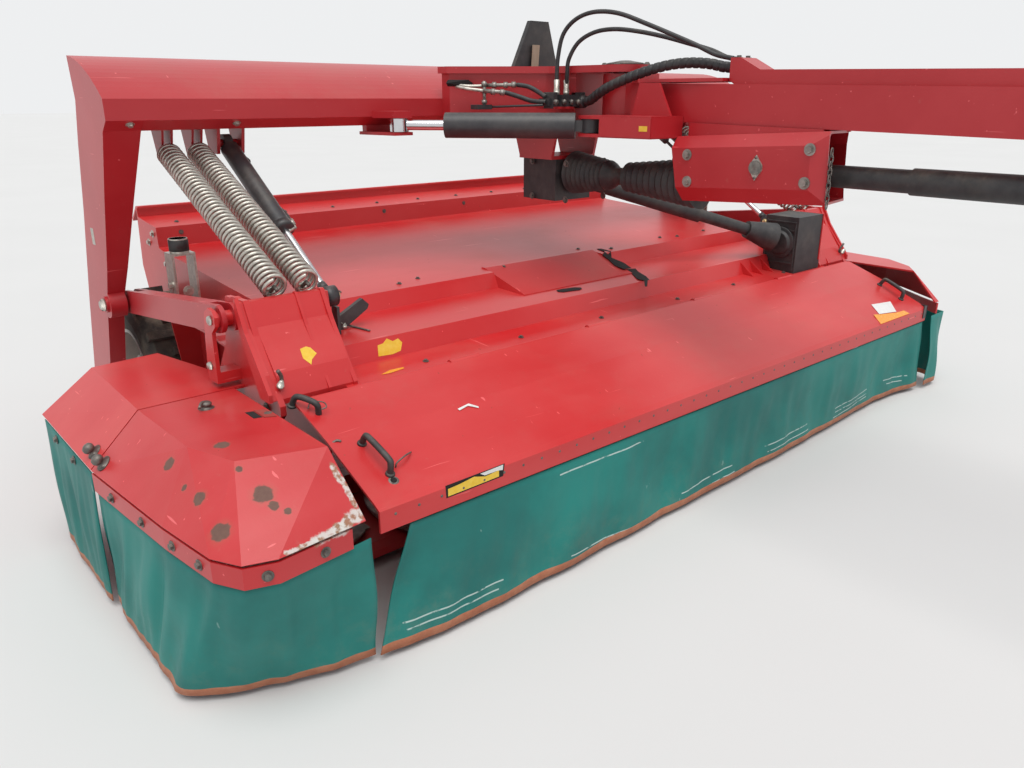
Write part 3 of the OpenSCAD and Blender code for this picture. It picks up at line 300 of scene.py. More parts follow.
black_paint = dull("black_paint", (0.028, 0.028, 0.032), (0.055, 0.053, 0.055), 16, 0.42, dust=0.25)
hose_rubber = dull("hose_rubber", (0.016, 0.016, 0.018), (0.035, 0.035, 0.037), 60, 0.5, dust=0.2)
tyre_rubber = dull("tyre_rubber", (0.035, 0.033, 0.031), (0.1, 0.085, 0.065), 14, 0.85, dust=0.9, bump=0.003)
rim_paint = dull("rim_paint", (0.42, 0.41, 0.38), (0.55, 0.53, 0.48), 20, 0.5, dust=0.6)
zinc = dull("zinc_steel", (0.4, 0.38, 0.34), (0.62, 0.6, 0.54), 55, 0.38, dust=0.15, metallic=0.75)
dark_steel = dull("dark_steel", (0.1, 0.09, 0.085), (0.21, 0.19, 0.17), 70, 0.5, dust=0.3, metallic=0.6)
worn_steel = dull("worn_steel", (0.22, 0.2, 0.18), (0.42, 0.4, 0.37), 30, 0.4, dust=0.3, metallic=0.7)
chrome = dull("chrome_rod", (0.62, 0.62, 0.64), (0.75, 0.75, 0.77), 9, 0.16, dust=0.05, metallic=1.0)
green_cloth = curtain_cloth("curtain_green", (0.004, 0.2, 0.172), (0.002, 0.13, 0.116), CLOTH_LINES)
hem_rubber = dull("hem_rubber", (0.42, 0.13, 0.06), (0.55, 0.22, 0.12), 24, 0.6, dust=0.5)
yellow = dull("yellow_label", (0.8, 0.5, 0.02), (0.86, 0.6, 0.08), 60, 0.45, dust=0.15)
white = dull("white_label", (0.72, 0.72, 0.7), (0.8, 0.8, 0.78), 60, 0.45, dust=0.1)
orange = dull("orange_reflector", (0.85, 0.3, 0.01), (0.9, 0.38, 0.03), 80, 0.25, dust=0.1)
brass = dull("worn_brass", (0.48, 0.36, 0.16), (0.62, 0.5, 0.28), 60, 0.35, dust=0.2, metallic=0.9)
# Near black: painted shade inside slots, holes and the roof tear's gap, and also the black print round a front cover
# label.
shade_and_print_black = dull("opening_shade_and_black_print", (0.006, 0.005, 0.005), (0.012, 0.01, 0.01), 30, 0.9, dust=0.0)
wood = dull("weathered_strip", (0.3, 0.24, 0.17), (0.42, 0.35, 0.26), 30, 0.8, dust=0.3, stretch=(1, 1, 0.15))

NODE_FINISHES = {
    frame_red: ("beam", "steer_anchor", "legs", "pivot_box", "drawbar", "drawbar_nose", "hose_duct", "pto_box",
                "upper_links", "lower_links", "conditioner_rotor", "cutterbar"),
    cover_red: ("hood", "side_walls", "end_plates", "spring_brackets", "swath_shields", "front_cover",
                "rear_side_panels", "side_cover_left"),
    side_red: ("side_cover_right",),
    black_plastic: ("pivot_gearbox", "bellows_rear", "bellows_front", "marker_board", "header_gearbox",
                    "side_shaft_outer", "side_shaft_inner", "pto_guard"),
    black_paint: ("valve_block", "steer_barrel", "lift_barrels"),
    hose_rubber: ("hose_loops", "hose_bundle"),
    tyre_rubber: ("tyre_right", "tyre_left"),
    rim_paint: ("rim_right", "rim_left"),
    zinc: ("springs", "jack_leg", "bump_stops"),
    chrome: ("steer_rod", "lift_rods"),
    green_cloth: ("rear_side_curtains", "front_curtain", "side_curtain_right", "side_curtain_left"),
    worn_steel: tuple(f"disc_{i}" for i in range(1, 10)),
}


for finish, names in NODE_FINISHES.items():
    for name in names:
        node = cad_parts[name]
        if not node.data.materials:
            node.data.materials.append(finish)
        for slot in node.material_slots:
            slot.link = "OBJECT"
            slot.material = finish


# -------- shapes

class Shape:
    """Collects faces that become one piece on one body."""

    def __init__(self, name):
        self.name, self.verts, self.faces = name, [], []
        self.finishes, self.index, self.smooth = [], [], []

    def add(self, verts, faces, finish, smooth=False):
        if finish not in self.finishes:
            self.finishes.append(finish)
        start = len(self.verts)
        self.verts += [Vector(v) for v in verts]
        self.faces += [[start + i for i in face] for face in faces]
        self.index += [self.finishes.index(finish)] * len(faces)
        self.smooth += [smooth] * len(faces)
        return self

    def block(self, low, high, finish):
        """A box between two corners given in beam-face millimetres."""
        (a, b, c), (d, e, g) = low, high
        corners = [spot(x, y, z) for z in (c, g) for y in (b, e) for x in (a, d)]
        return self.add(corners, [(0, 2, 3, 1), (4, 5, 7, 6), (0, 1, 5, 4), (2, 6, 7, 3),
                                  (0, 4, 6, 2), (1, 3, 7, 5)], finish)

    def slab(self, outline, thickness, finish):
        """A flat plate whose outline is given by points in space; thickness may be negative."""
        points = [Vector(p) for p in outline]
        normal = Vector((0, 0, 0))
        for p, q in zip(points, points[1:] + points[:1]):
            normal += p.cross(q)
        normal = normal.normalized() * thickness
        top = [p + normal for p in points]
        n = len(points)
        faces = [tuple(range(n - 1, -1, -1)), tuple(range(n, 2 * n))]
        faces += [(i, (i + 1) % n, n + (i + 1) % n, n + i) for i in range(n)]
        return self.add(points + top, faces, finish)

    def label(self, corners, finish, lift=0.6):
        """A thin plate laid on a surface; corners in beam-face millimetres, turning left round its outside."""
        return self.slab([spot(*p) for p in corners], lift / 1000, finish)

    def bar(self, points, radius, finish, steps=1, sides=10):
        """A round bar or hose through places given in beam-face millimetres."""
        path = smooth_path(points, steps) if steps > 1 else [spot(*p) for p in points]
        return self.tube(path, radius / 1000, finish, sides)

    def turned(self, place, axis, profile, finish, sides=24):
        """A turned piece: its profile is (distance along the axis, radius) pairs; all in millimetres."""
        profile = [(along / 1000, r / 1000) for along, r in profile]
        axis = Vector(axis).normalized()
        path = [spot(*place) + axis * along for along, _ in profile]
        return self.tube(path, 0, finish, sides, step_radius(profile))

    def tube(self, path, radius, finish, sides=10, radius_at=None):
        """A round bar or hose along a path, with closed ends."""
        path = [Vector(p) for p in path]
        travel = [0.0]
        for p, q in zip(path, path[1:]):
            travel.append(travel[-1] + (q - p).length)
        verts, faces, side = [], [], None
        for i, p in enumerate(path):
            along = (path[min(i + 1, len(path) - 1)] - path[max(i - 1, 0)]).normalized()
            if side is None:
                side = along.orthogonal().normalized()
            side = (side - along * side.dot(along)).normalized()
            other = along.cross(side)
            for k in range(sides):
                angle = 2 * math.pi * k / sides
                r = radius_at(travel[i], angle) if radius_at else radius
                verts.append(p + (side * math.cos(angle) + other * math.sin(angle)) * r)
        for i in range(len(path) - 1):
            for k in range(sides):
                n = (k + 1) % sides
                faces.append((i * sides + k, i * sides + n, (i + 1) * sides + n, (i + 1) * sides + k))
        faces.append(tuple(range(sides - 1, -1, -1)))
        last = (len(path) - 1) * sides
        faces.append(tuple(range(last, last + sides)))
        return self.add(verts, faces, finish, smooth=True)

    def piece(self, body, slot, bevel=0.0):
        mesh = bpy.data.meshes.new(self.name)
        mesh.from_pydata([tuple(v) for v in self.verts], [], self.faces)
        for finish in self.finishes:
            mesh.materials.append(finish)
        mesh.polygons.foreach_set("material_index", self.index)
        mesh.polygons.foreach_set("use_smooth", self.smooth)
        made = linked(self.name, mesh)
        if bevel:
            modifier = made.modifiers.new("edges", "BEVEL")
            modifier.width, modifier.segments = bevel, 2
            modifier.limit_method, modifier.angle_limit = "ANGLE", math.radians(40)
        if body:
            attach(made, body)
        return made


def step_radius(profile):
    """Radius of a turned piece by the distance travelled along it, for Shape.tube."""
    radii, travel = [], 0.0
    for (last, _), (along, radius) in zip(profile[:1] + profile, profile):
        travel += abs(along - last)
        radii.append((travel, radius))
    return lambda travel, angle: min(radii, key=lambda pair: abs(pair[0] - travel))[1]


def smooth_path(points, steps):
    """A curve through chosen points in beam-face millimetres, in metres."""
    p = [Vector(q) for q in points]
    out = []
    for i in range(len(p) - 1):
        a, b, c, d = p[max(i - 1, 0)], p[i], p[i + 1], p[min(i + 2, len(p) - 1)]
        for s in range(steps):
            t = s / steps
            out.append(0.5 * (2 * b + (c - a) * t + (2 * a - 5 * b + 4 * c - d) * t * t
                              + (3 * b - a - 3 * c + d) * t ** 3))
    out.append(p[-1])
    return [spot(*q) for q in out]


def path_length(path):
    return sum((q - p).length for p, q in zip(path, path[1:]))


# -------- hoses

PORT_Z = 1431
LOOP_ROUTES = (
    [(-194, -420, PORT_Z + 1), (-194, -420, PORT_Z + 30), (-194, -420, 1505), (-193, -424, 1570),
     (-188, -445, 1648), (-175, -498, 1698), (-155, -575, 1719), (-130, -672, 1709), (-103, -786, 1668),
     (-78, -886, 1628), (-58, -974, 1592), (-40, -1044, 1560), (-26, -1107, 1546)],
    [(-141, -420, PORT_Z + 1), (-141, -420, PORT_Z + 30), (-149, -431, 1508), (-150, -440, 1561),
     (-139, -479, 1620), (-120, -544, 1653), (-93, -622, 1661), (-62, -716, 1649), (-32, -811, 1628),
     (-4, -895, 1604), (14, -985, 1578), (24, -1050, 1552), (26, -1107, 1544)],
)
BUNDLE_ROUTE = [(-101, -475, 1405), (-104, -518, 1411), (-116, -565, 1431), (-124, -625, 1456),
                (-110, -700, 1485), (-84, -776, 1511), (-54, -850, 1530), (-28, -925, 1537),
                (-8, -1000, 1532), (-1, -1056, 1521), (0, -1108, 1518)]
PIVOT_BLEND = dict(start=tuple(spot(-100, -470, 1500)), end=tuple(spot(0, -1020, 1500)))


def hose(name, route, diameter, body=None, cad_node=None, radius_at=None, sides=12, steps=8):
    """A hose on one body; without one it runs from frame to drawbar, baked in world place, in place of a node."""
    path = smooth_path(route, steps)
    made = Shape(name).tube(path, diameter / 2, hose_rubber, sides, radius_at).piece(body, "hose_rubber")
    if not body:
        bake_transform(made)
        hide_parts(cad_node)
    path_length(path)


for side, route in zip(("left", "right"), LOOP_ROUTES):
    hose(f"hose_loop_{side}", route, 0.016, cad_node="hose_loops")


def wrapped(travel, angle):
    """Spiral guard: a groove every 26 mm."""
    turn = (travel / 0.026 + angle / (2 * math.pi)) % 1
    return 0.0184 - 0.0034 * max(0.0, 1 - abs(turn - 0.5) / 0.18)


hose("hose_bundle_wrapped", BUNDLE_ROUTE, 0.036, cad_node="hose_bundle", radius_at=wrapped, sides=20, steps=36)


# -------- curtains

def along_line(points, share):
    """The point at a share of a polyline's length."""
    lengths = [(q - p).length for p, q in zip(points, points[1:])]
    left = share * sum(lengths)
    for p, q, length in zip(points, points[1:], lengths):
        if left <= length:
            return p.lerp(q, left / length)
        left -= length
    return points[-1].copy()


def level(z, *places):
    """Places at one height, given by their x and y."""
    return [(x, y, z) for x, y in places]


CURTAIN_ROWS, HEM = 14, 0.024


def curtain(name, top, bottom, body, cad_node, outward, columns, fold, seed):
    """A hanging sheet between a line under its flange and a line near the ground, with a hem at the bottom."""
    top = [spot(*p) for p in top]
    bottom = smooth_path(bottom, 10)
    verts, faces = [], []
    heights = [i / (CURTAIN_ROWS - 1) for i in range(CURTAIN_ROWS)]
    drop = (along_line(top, 0.5) - along_line(bottom, 0.5)).length
    heights = [h * (1 - HEM / drop) for h in heights] + [1.0]
    for c in range(columns):
        share = c / (columns - 1)
        a, b = along_line(top, share), along_line(bottom, share)
        ahead = along_line(top, min(1, share + 0.01)) - along_line(top, max(0, share - 0.01))
        out = Vector((ahead.y, -ahead.x, 0)).normalized() * outward
        for h in heights:
            wave = noise.noise(Vector((share * columns * 0.11, h * 1.1, seed)))
            ripple = noise.noise(Vector((share * columns * 0.31, h * 0.7, seed + 7)))
            push = fold * (math.sin(min(h, 1) * math.pi * 0.92) * (1.3 * wave + 0.45 * ripple))
            verts.append(a.lerp(b, h) + out * push)
    n = len(heights)
    for c in range(columns - 1):
        for r in range(n - 1):
            quad = (c * n + r, c * n + r + 1, (c + 1) * n + r + 1, (c + 1) * n + r)
            faces.append(quad if outward < 0 else quad[::-1])
    cloth = Shape(name).add(verts, faces, green_cloth, smooth=True)
    cloth.finishes.append(hem_rubber)
    cloth.index = [int(i % (n - 1) == n - 2) for i in range(len(faces))]
    made = cloth.piece(body, "curtain")
    thick = made.modifiers.new("thickness", "SOLIDIFY")
    thick.thickness, thick.offset = 0.003, 0.0
    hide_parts(cad_node)
    width = (path_length(top) + path_length(bottom)) / 2


curtain("front_curtain_cloth",
        level(362, (-1500, -1243), (-1000, -1244), (0, -1244), (1000, -1244), (1585, -1244)),
        [(-1629, -1267, 22)] + level(20, (-1418, -1291), (-983, -1288), (-587, -1277), (-234, -1268),
                                     (497, -1251), (1100, -1222), (1380, -1228)) + [(1600, -1262, 24)],
        "front_curtain", "front_curtain", 1, 190, fold=0.02, seed=2.0)
curtain("side_curtain_right_cloth",
        level(386, (-2080, -566), (-2062, -760), (-2040, -1000), (-2010, -1210), (-1970, -1284),
              (-1900, -1308), (-1640, -1276)),
        [(-2060, -500, 24)] + level(22, (-2084, -640), (-2086, -1000), (-2080, -1062), (-2010, -1132),
                                    (-1925, -1172), (-1760, -1232), (-1636, -1256)),
        "side_cover_right", "side_curtain_right", 1, 90, fold=0.03, seed=5.0)
curtain("side_curtain_left_cloth",
        level(386, (2058, -566), (2040, -700), (1990, -840), (1899, -980), (1826, -1100), (1786, -1262),
              (1640, -1262)),
        [(2070, -520, 24)] + level(22, (2050, -700), (2000, -850), (1910, -990), (1850, -1110),
                                   (1786, -1270), (1640, -1280)),
        "side_cover_left", "side_curtain_left", -1, 90, fold=0.026, seed=9.0)
for side, top_x, bottom_xs, outward, seed in (("right", -2082, (-2088, -2092, -2090), 1, 12.0),
                                              ("left", 2060, (2066, 2070, 2066), -1, 15.0)):
    curtain(f"rear_curtain_{side}_cloth", level(436, (top_x, -12), (top_x, -300), (top_x, -540)),
            list(zip(bottom_xs, (-60, -300, -540), (24, 22, 22))),
            "header", "rear_side_curtains", outward, 44, fold=0.018, seed=seed)


# -------- repeated pieces by Geometry Nodes

def point_piece(name, body, slot, places, facings, build, finish, **sizes):
    """Runs a Geometry Nodes tree over points that face a way each, and keeps the result as a plain mesh."""
    mesh = bpy.data.meshes.new(name)
    mesh.from_pydata([tuple(p) for p in places], [], [])
    facing = mesh.attributes.new("facing", "FLOAT_VECTOR", "POINT")
    facing.data.foreach_set("vector", [c for v in facings for c in Vector(v).normalized()])
    made = linked(name, mesh)
    group = bpy.data.node_groups.new(name, "GeometryNodeTree")
    group.interface.new_socket("Points", in_out="INPUT", socket_type="NodeSocketGeometry")
    for key in sizes:
        group.interface.new_socket(key, in_out="INPUT", socket_type="NodeSocketFloat")
    group.interface.new_socket("Finish", in_out="INPUT", socket_type="NodeSocketMaterial")
    group.interface.new_socket("Pieces", in_out="OUTPUT", socket_type="NodeSocketGeometry")
    tree = Tree(group)
    entry = tree.node("NodeGroupInput")
    size = {key: entry.out(key) for key in sizes}
    instance = build(tree, size)
    turn = tree.node("FunctionNodeAlignRotationToVector", {"axis": "Z"},
                     Vector=tree.node("GeometryNodeInputNamedAttribute", {"data_type": "FLOAT_VECTOR"}, "facing"))
    placed = tree.node("GeometryNodeInstanceOnPoints", None, Points=entry.out("Points"), Instance=instance,
                       Rotation=turn)
    real = tree.node("GeometryNodeRealizeInstances", None, placed)
    done = tree.node("GeometryNodeSetMaterial", None, Geometry=real, Material=entry.out("Finish"))
    tree.node("NodeGroupOutput", None, done)
    modifier = made.modifiers.new("pieces", "NODES")
    modifier.node_group = group
    given = {**sizes, "Finish": finish}
    for item in group.interface.items_tree:
        if item.in_out == "INPUT" and item.name in given:
            modifier[item.identifier] = given[item.name]
    depsgraph = bpy.context.evaluated_depsgraph_get()
    result = bpy.data.meshes.new_from_object(made.evaluated_get(depsgraph))
    made.modifiers.clear()
    made.data = result
    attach(made, body)
    return made


def joined(tree, *parts):
    node = tree.tree.nodes.new("GeometryNodeJoinGeometry")
    for part in reversed(parts):
        tree.tree.links.new(part.socket, node.inputs[0])
    return Wire(tree, node.outputs[0])


def raised(tree, part, height):
    lift = tree.node("ShaderNodeCombineXYZ", None, Z=height)
    return tree.node("GeometryNodeTransform", None, Geometry=part, Translation=lift)


def hex_bolt(tree, size):
    """A hexagon head on a washer, standing up from the point."""
    washer = raised(tree, tree.node("GeometryNodeMeshCylinder", None, Vertices=16, Radius=size["Radius"] * 1.75,
                                    Depth=size["Radius"] * 0.3), size["Radius"] * 0.15)
    head = raised(tree, tree.node("GeometryNodeMeshCylinder", None, Vertices=6, Radius=size["Radius"] * 1.1,
                                  Depth=size["Radius"] * 0.9), size["Radius"] * 0.7)
    return joined(tree, washer, head)


def round_rivet(tree, size):
    """A low dome."""
    ball = tree.node("GeometryNodeMeshUVSphere", None, Segments=12, Rings=8, Radius=size["Radius"])
    return tree.node("GeometryNodeTransform", None, Geometry=ball, Scale=(1, 1, 0.45))


def coil(tree, size):
    """A helical spring that climbs along Z from the point."""
    line = tree.node("GeometryNodeCurveSpiral", None, Resolution=20, Rotations=size["Turns"],
                     Height=size["Length"])
    for name in ("Start Radius", "End Radius"):
        tree.feed(line.socket.node.inputs[name], size["Coil Radius"])
    wire = tree.node("GeometryNodeCurvePrimitiveCircle", None, Resolution=8, Radius=size["Wire Radius"])
    return tree.node("GeometryNodeCurveToMesh", None, Curve=line, Profile_Curve=wire, Fill_Caps=True)


SPRING_TOP, SPRING_FOOT = spot(0, 216, 1252), spot(0, -624, 862)
spring_way = (SPRING_FOOT - SPRING_TOP).normalized()
spring_len = (SPRING_FOOT - SPRING_TOP).length
spring_xs = [side * x / 1000 for side in (-1, 1) for x in (1405, 1510)]
COIL_START, COIL_END = 0.036, spring_len - 0.042
coils = point_piece("relief_spring_coils", "springs", "zinc_steel",
                    [SPRING_TOP + spring_way * COIL_START + Vector((x, 0, 0)) for x in spring_xs],
                    [spring_way] * 4, coil, zinc,
                    **{"Turns": 41.7, "Coil Radius": 0.0365, "Wire Radius": 0.0062,
                       "Length": COIL_END - COIL_START})
hooks = Shape("relief_spring_hooks")
for x in spring_xs:
    across = Vector((x, 0, 0))
    upright = Vector((1, 0, 0)).cross(spring_way)
    for begin, end in ((-0.004, COIL_START + 0.03), (spring_len - 0.034, COIL_END - 0.03)):
        line = [SPRING_TOP + across + spring_way * (begin + (end - begin) * i / 6)
                + upright * 0.03 * max(0, (i - 3) / 3) for i in range(7)]
        hooks.tube(line, 0.0065, dark_steel, 8)
hooks = hooks.piece("springs", "zinc_steel")
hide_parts("springs")
for made in (coils, hooks):
    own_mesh(made)


# -------- bolts, screws and rivets

LEFT, RIGHT, FRONT, UP = (1, 0, 0), (-1, 0, 0), (0, -1, 0), (0, 0, 1)
CHAMFER = (0, -0.47, -0.88)      # way that the beam's lower front slope faces
COVER_SLOPE = (0, -0.39, 0.92)   # way that the front cover's front part faces


def bolts(name, body, radius, rows, finish=zinc, build=hex_bolt):
    """Bolts on one body; rows holds (facing, places in beam-face millimetres)."""
    point_piece(name, body, "zinc_steel", [spot(*p) for _, row in rows for p in row],
                [facing for facing, row in rows for _ in row], build, finish, Radius=radius / 1000)


def both(*places):
    """The same places on the right and on the left side."""
    return [(side * x, y, z) for side in (1, -1) for x, y, z in places]


def sides(*places):
    """Rows for places on the right side's outer faces, and for the same on the left."""
    return [(RIGHT, list(places)), (LEFT, [(-x, y, z) for x, y, z in places])]


def spread(first, last, count):
    """Evenly spaced places on a line."""
    return [tuple(a + (b - a) * i / (count - 1) for a, b in zip(first, last)) for i in range(count)]


BOX_BOLTS = ((-140, -1029, 1231), (-140, -1036, 1140), (-140, -1493, 1269), (-140, -1487, 1167))
FAR_BOX_BOLTS = ((140, -1029, 1231), (140, -1036, 1140), (140, -1440, 1263), (140, -1436, 1164))
RIGHT_FLANGE = level(414, (-2075, -687), (-2057, -874), (-2040, -1040), (-2023, -1164))
LEFT_FLANGE = level(414, (2049, -676), (2022, -767), (1951, -910), (1854, -1047))

bolts("beam_slope_bolts", "frame", 8, [(CHAMFER, both((-1673, 19, 1339), (-1315, 25, 1337)))])
bolts("gearbox_bolts", "frame", 8,
      sides((-114, -196, 1164), (-114, -196, 1018), (-114, -402, 1164), (-114, -402, 1018)), dark_steel)
bolts("box_bolts", "drawbar", 11, [(RIGHT, BOX_BOLTS), (LEFT, FAR_BOX_BOLTS)], worn_steel)
bolts("duct_studs", "drawbar", 7, [(UP, [(-26, -1130, 1547), (26, -1130, 1547)])], dark_steel)
bolts("roof_screws", "header", 6,
      [((0, -0.11, 0.99), spread((-1290, 845, 903), (1290, 845, 903), 11)),
       ((0, -0.06, 1.0), both((-1300, -212, 746), (-855, -250, 744), (-336, -264, 743), (-749, -222, 745),
                              (-1105, -229, 745)) + [(189, -188, 747)]),
       ((0, -0.07, 1.0), both((-661, -739, 600), (-1085, -742, 600), (-240, -744, 600))),
       (FRONT, spread((-1300, 776, 868), (1300, 776, 868), 6))], dark_steel)
bolts("wall_bolts", "header", 9, sides((-1404, 824, 865), (-1404, 889, 821), (-1404, 700, 752)))
bolts("end_plate_bolts", "header", 10, sides((-1626, -470, 250), (-1626, -420, 250), (-1626, -450, 120),
                                             (-1626, -640, 500), (-1626, -700, 560)), dark_steel)
bolts("stop_bolts", "header", 11, sides((-1578, 128, 780)) + [(FRONT, both((-1536, 92, 760)))])
bolts("lip_rivets", "front_cover", 4.5, [(FRONT, spread((-1548, -1250, 410), (1548, -1250, 410), 43))],
      dark_steel, build=round_rivet)
bolts("right_flange_bolts", "side_cover_right", 8,
      [((-1, -0.12, 0), RIGHT_FLANGE), ((-0.33, -0.94, 0), [(-1925, -1309, 414)]),
       ((0.11, -0.99, 0), [(-1779, -1304, 414)])], dark_steel)
bolts("left_flange_bolts", "side_cover_left", 8, [((0.86, -0.5, 0), LEFT_FLANGE)], dark_steel)
bolts("rear_panel_bolts", "header", 8,
      [(RIGHT, [(-2086, -159, 414), (-2086, -360, 414)]), (LEFT, [(2064, -159, 414), (2064, -360, 414)])],
      dark_steel)
NUT_FACE_X, AXLE_Y, AXLE_Z, NUT_CIRCLE = 1564, 630, 335, 62
turns = [math.radians(i * 60) for i in range(6)]
for word, side in (("right", -1), ("left", 1)):
    bolts(f"wheel_nuts_{word}", f"wheel_{word}", 10,
          [((side, 0, 0), [(side * NUT_FACE_X, AXLE_Y + math.cos(a) * NUT_CIRCLE, AXLE_Z + math.sin(a) * NUT_CIRCLE)
                           for a in turns])])


# -------- frame: pins, plates and pipes

pins = Shape("frame_pins")
for side in (-1, 1):
    for place, radius in (((side * 1758, 352, 696), 24), ((side * 1758, 510, 352), 22)):
        pins.turned(place, (side, 0, 0), [(0, radius), (5, radius), (5, radius * 0.62), (17, radius * 0.6),
                                          (17, 6), (18, 1)], zinc)
    pins.bar([(side * 1768, 352, 716), (side * 1768, 352, 674)], 3.5, dark_steel)
pins.turned((-710, -80, 1347), UP, [(0, 24), (8, 24), (8, 13), (16, 12), (17, 2)], dark_steel)
pins.piece("frame", "zinc_steel")

plates = Shape("frame_plates")
plates.label([(-1750, 400, 974), (-1750, 400, 914), (-1750, 366, 914), (-1750, 366, 974)], zinc)
plates.label([(183, 135.5, 1650), (176, 135.5, 1545), (219, 135.5, 1545), (227, 135.5, 1650)], wood, 3)
plates.piece("frame", "zinc_steel")

cap = Shape("pivot_cap")
cap.turned((0, -600, 1538), UP, [(0, 74), (7, 74), (9, 66), (9, 40), (14, 36), (17, 22), (18, 2)], dark_steel, 32)
for angle in range(0, 360, 90):
    a = math.radians(angle + 20)
    cap.turned((math.cos(a) * 88, math.sin(a) * 88 - 600, 1538), UP, [(0, 13), (3, 13), (3, 8), (10, 8), (11, 1)],
               dark_steel, 6)
cap.piece("frame", "zinc_steel")

# The black plate over the frame's slots is painted shade inside the openings.
slots = Shape("frame_slots_painted_shade")
slots.label([(-482, -96, 1487), (-498, -106, 1474), (-480, -92, 1462), (-405, -142, 1462), (-396, -150, 1474),
             (-412, -140, 1487)], shade_and_print_black)
slots.piece("frame", "black_plastic")

pipes = Shape("valve_pipes")
pipes.bar([(-452, -100, 1470), (-427, -150, 1463), (-375, -190, 1464)], 6.5, zinc, 4)
pipes.bar([(-375, -190, 1466), (-286, -290, 1468)], 7.5, worn_steel)
pipes.bar([(-455, -112, 1462), (-439, -165, 1453), (-391, -210, 1446)], 6.5, zinc, 4)
pipes.bar([(-391, -210, 1446), (-336, -280, 1439)], 8, worn_steel)
for place, along in (((-352, -216, 1467), (0.66, -0.75, 0)), ((-322, -250, 1467), (0.66, -0.75, 0)),
                     ((-300, -274, 1468), (0.66, -0.75, 0)), ((-372, -232, 1443), (0.62, -0.78, -0.1)),
                     ((-350, -262, 1440), (0.62, -0.78, -0.1))):
    pipes.turned(place, along, [(0, 12), (16, 12)], worn_steel, 6)
pipes.bar([(-380, -200, 1482), (-380, -200, 1387)], 7, worn_steel)
for z in (1478, 1450, 1412):
    pipes.turned((-380, -200, z), (0, 0, -1), [(0, 12), (15, 12)], worn_steel, 6)
for x in (-194, -141):
    pipes.turned((x, -420, PORT_Z), UP, [(0, 12), (14, 12), (14, 10), (24, 10), (24, 11.5), (54, 11.5), (56, 8.5)],
                 zinc, 12)
pipes.piece("frame", "zinc_steel")

fittings = Shape("valve_fittings")
fittings.block((-440, -232, 1376), (-366, -186, 1394), black_paint)
fittings.bar([(-367, -215, 1385), (-276, -430, 1393)], 4.5, black_paint)
fittings.bar([(-286, -290, 1468), (-263, -330, 1461), (-250, -370, 1443), (-257, -425, 1422)], 9, hose_rubber, 6, 12)
fittings.bar([(-336, -280, 1439), (-312, -330, 1424), (-288, -380, 1408), (-266, -435, 1404)], 9, hose_rubber, 6, 12)
for x in (-240, -88):
    fittings.block((x - 12, -462, 1380), (x + 12, -408, 1440), black_paint)
for x in (-250, -205, -165, -128):
    fittings.turned((x, -470, 1404), FRONT, [(0, 11), (9, 11), (9, 6), (15, 6)], dark_steel, 6)
fittings.turned((-101, -470, 1405), FRONT, [(0, 24), (14, 24), (18, 20)], black_paint)
fittings.piece("frame", "black_paint", 0.001)


# -------- frame and header: lift cylinders

for word, side in (("right", -1), ("left", 1)):
    line = [(side * 1262, 262, 1262), (side * 1250, 222, 1222), (side * 1236, 162, 1190), (side * 1236, 91, 1140),
            (side * 1236, 46, 1097), (side * 1238, -45, 1058), (side * 1242, -129, 1036), (side * 1248, -185, 1012)]
    hose(f"lift_hose_{word}", line, 0.015, "lift_barrels", steps=6)
    fit = Shape(f"lift_fitting_{word}")
    fit.bar(line[:3], 19, black_plastic, 4, 14)
    fit.bar([(side * 1247, -182, 1014), (side * 1250, -204, 1002)], 11, zinc, 1, 12)
    fit.bar([(side * 1250, -200, 1003), (side * 1252, -221, 996), (side * 1290, -228, 985)], 8, zinc, 1, 8)
    fit.piece("lift_barrels", "black_plastic")

gland = Shape("lift_glands")
eyes = Shape("lift_eyes")
LIFT_X = 1290                    # middle of a lift cylinder
ROD_DROP = Vector((0, -700, -454))
GLAND_PLACE = Vector((0, 200, 1262)) + ROD_DROP * 0.57
ROD_WAY = ROD_DROP.normalized()
for side in (-1, 1):
    gland.turned((side * LIFT_X, *GLAND_PLACE.yz), ROD_WAY, [(0, 36.5), (26, 36.5), (28, 30), (32, 22)],
                 black_paint)
    eyes.turned((side * LIFT_X - 21, -500, 808), LEFT, [(0, 34), (42, 34)], black_paint, 28)
    eyes.turned((side * (LIFT_X + 22), -500, 808), (side, 0, 0), [(0, 19), (5, 19), (5, 14), (8, 13)], brass, 20)
    eyes.turned((side * (LIFT_X - 22), -500, 808), (-side, 0, 0), [(0, 15), (10, 15), (10, 8), (16, 8)], brass, 20)
    eyes.turned((side * LIFT_X, -474, 825), -ROD_WAY, [(0, 17), (26, 15)], black_paint)
gland.piece("lift_barrels", "black_paint")
eyes.piece("lift_rods", "black_paint")


# -------- drawbar

trim = Shape("drawbar_trim")
diamond = [(0, 40), (13, 22), (24, 8), (24, -8), (13, -22), (0, -42), (-13, -22), (-24, -8), (-24, 8), (-13, 22)]
for side in (-1, 1):
    trim.label([(side * 140, -1309 - side * a, 1204 + b) for a, b in diamond], zinc, 5)
    trim.turned((side * 140, -1309, 1204), (side, 0, 0), [(0, 23), (9, 23), (9, 17), (10, 2)], dark_steel)
    for up in (32, -33):
        trim.turned((side * 144, -1309, 1204 + up), (side, 0, 0), [(0, 5), (4, 5)], dark_steel, 6)
trim.piece("drawbar", "zinc_steel")

chain = Shape("safety_chain")
links = spread((-112, -1552, 1262), (-112, -1556, 1104), 9)
for i, (x, y, z) in enumerate(links):
    turn = i % 2
    ring = []
    for k in range(17):
        a = 2 * math.pi * k / 16
        wide, tall = 6 * math.cos(a), 13.5 * math.sin(a)
        ring.append(spot(x + wide * (1 - turn) - 3, y - wide * turn, z + tall))
    chain.tube(ring, 0.0022, dark_steel, 6)
chain.piece("drawbar", "zinc_steel")

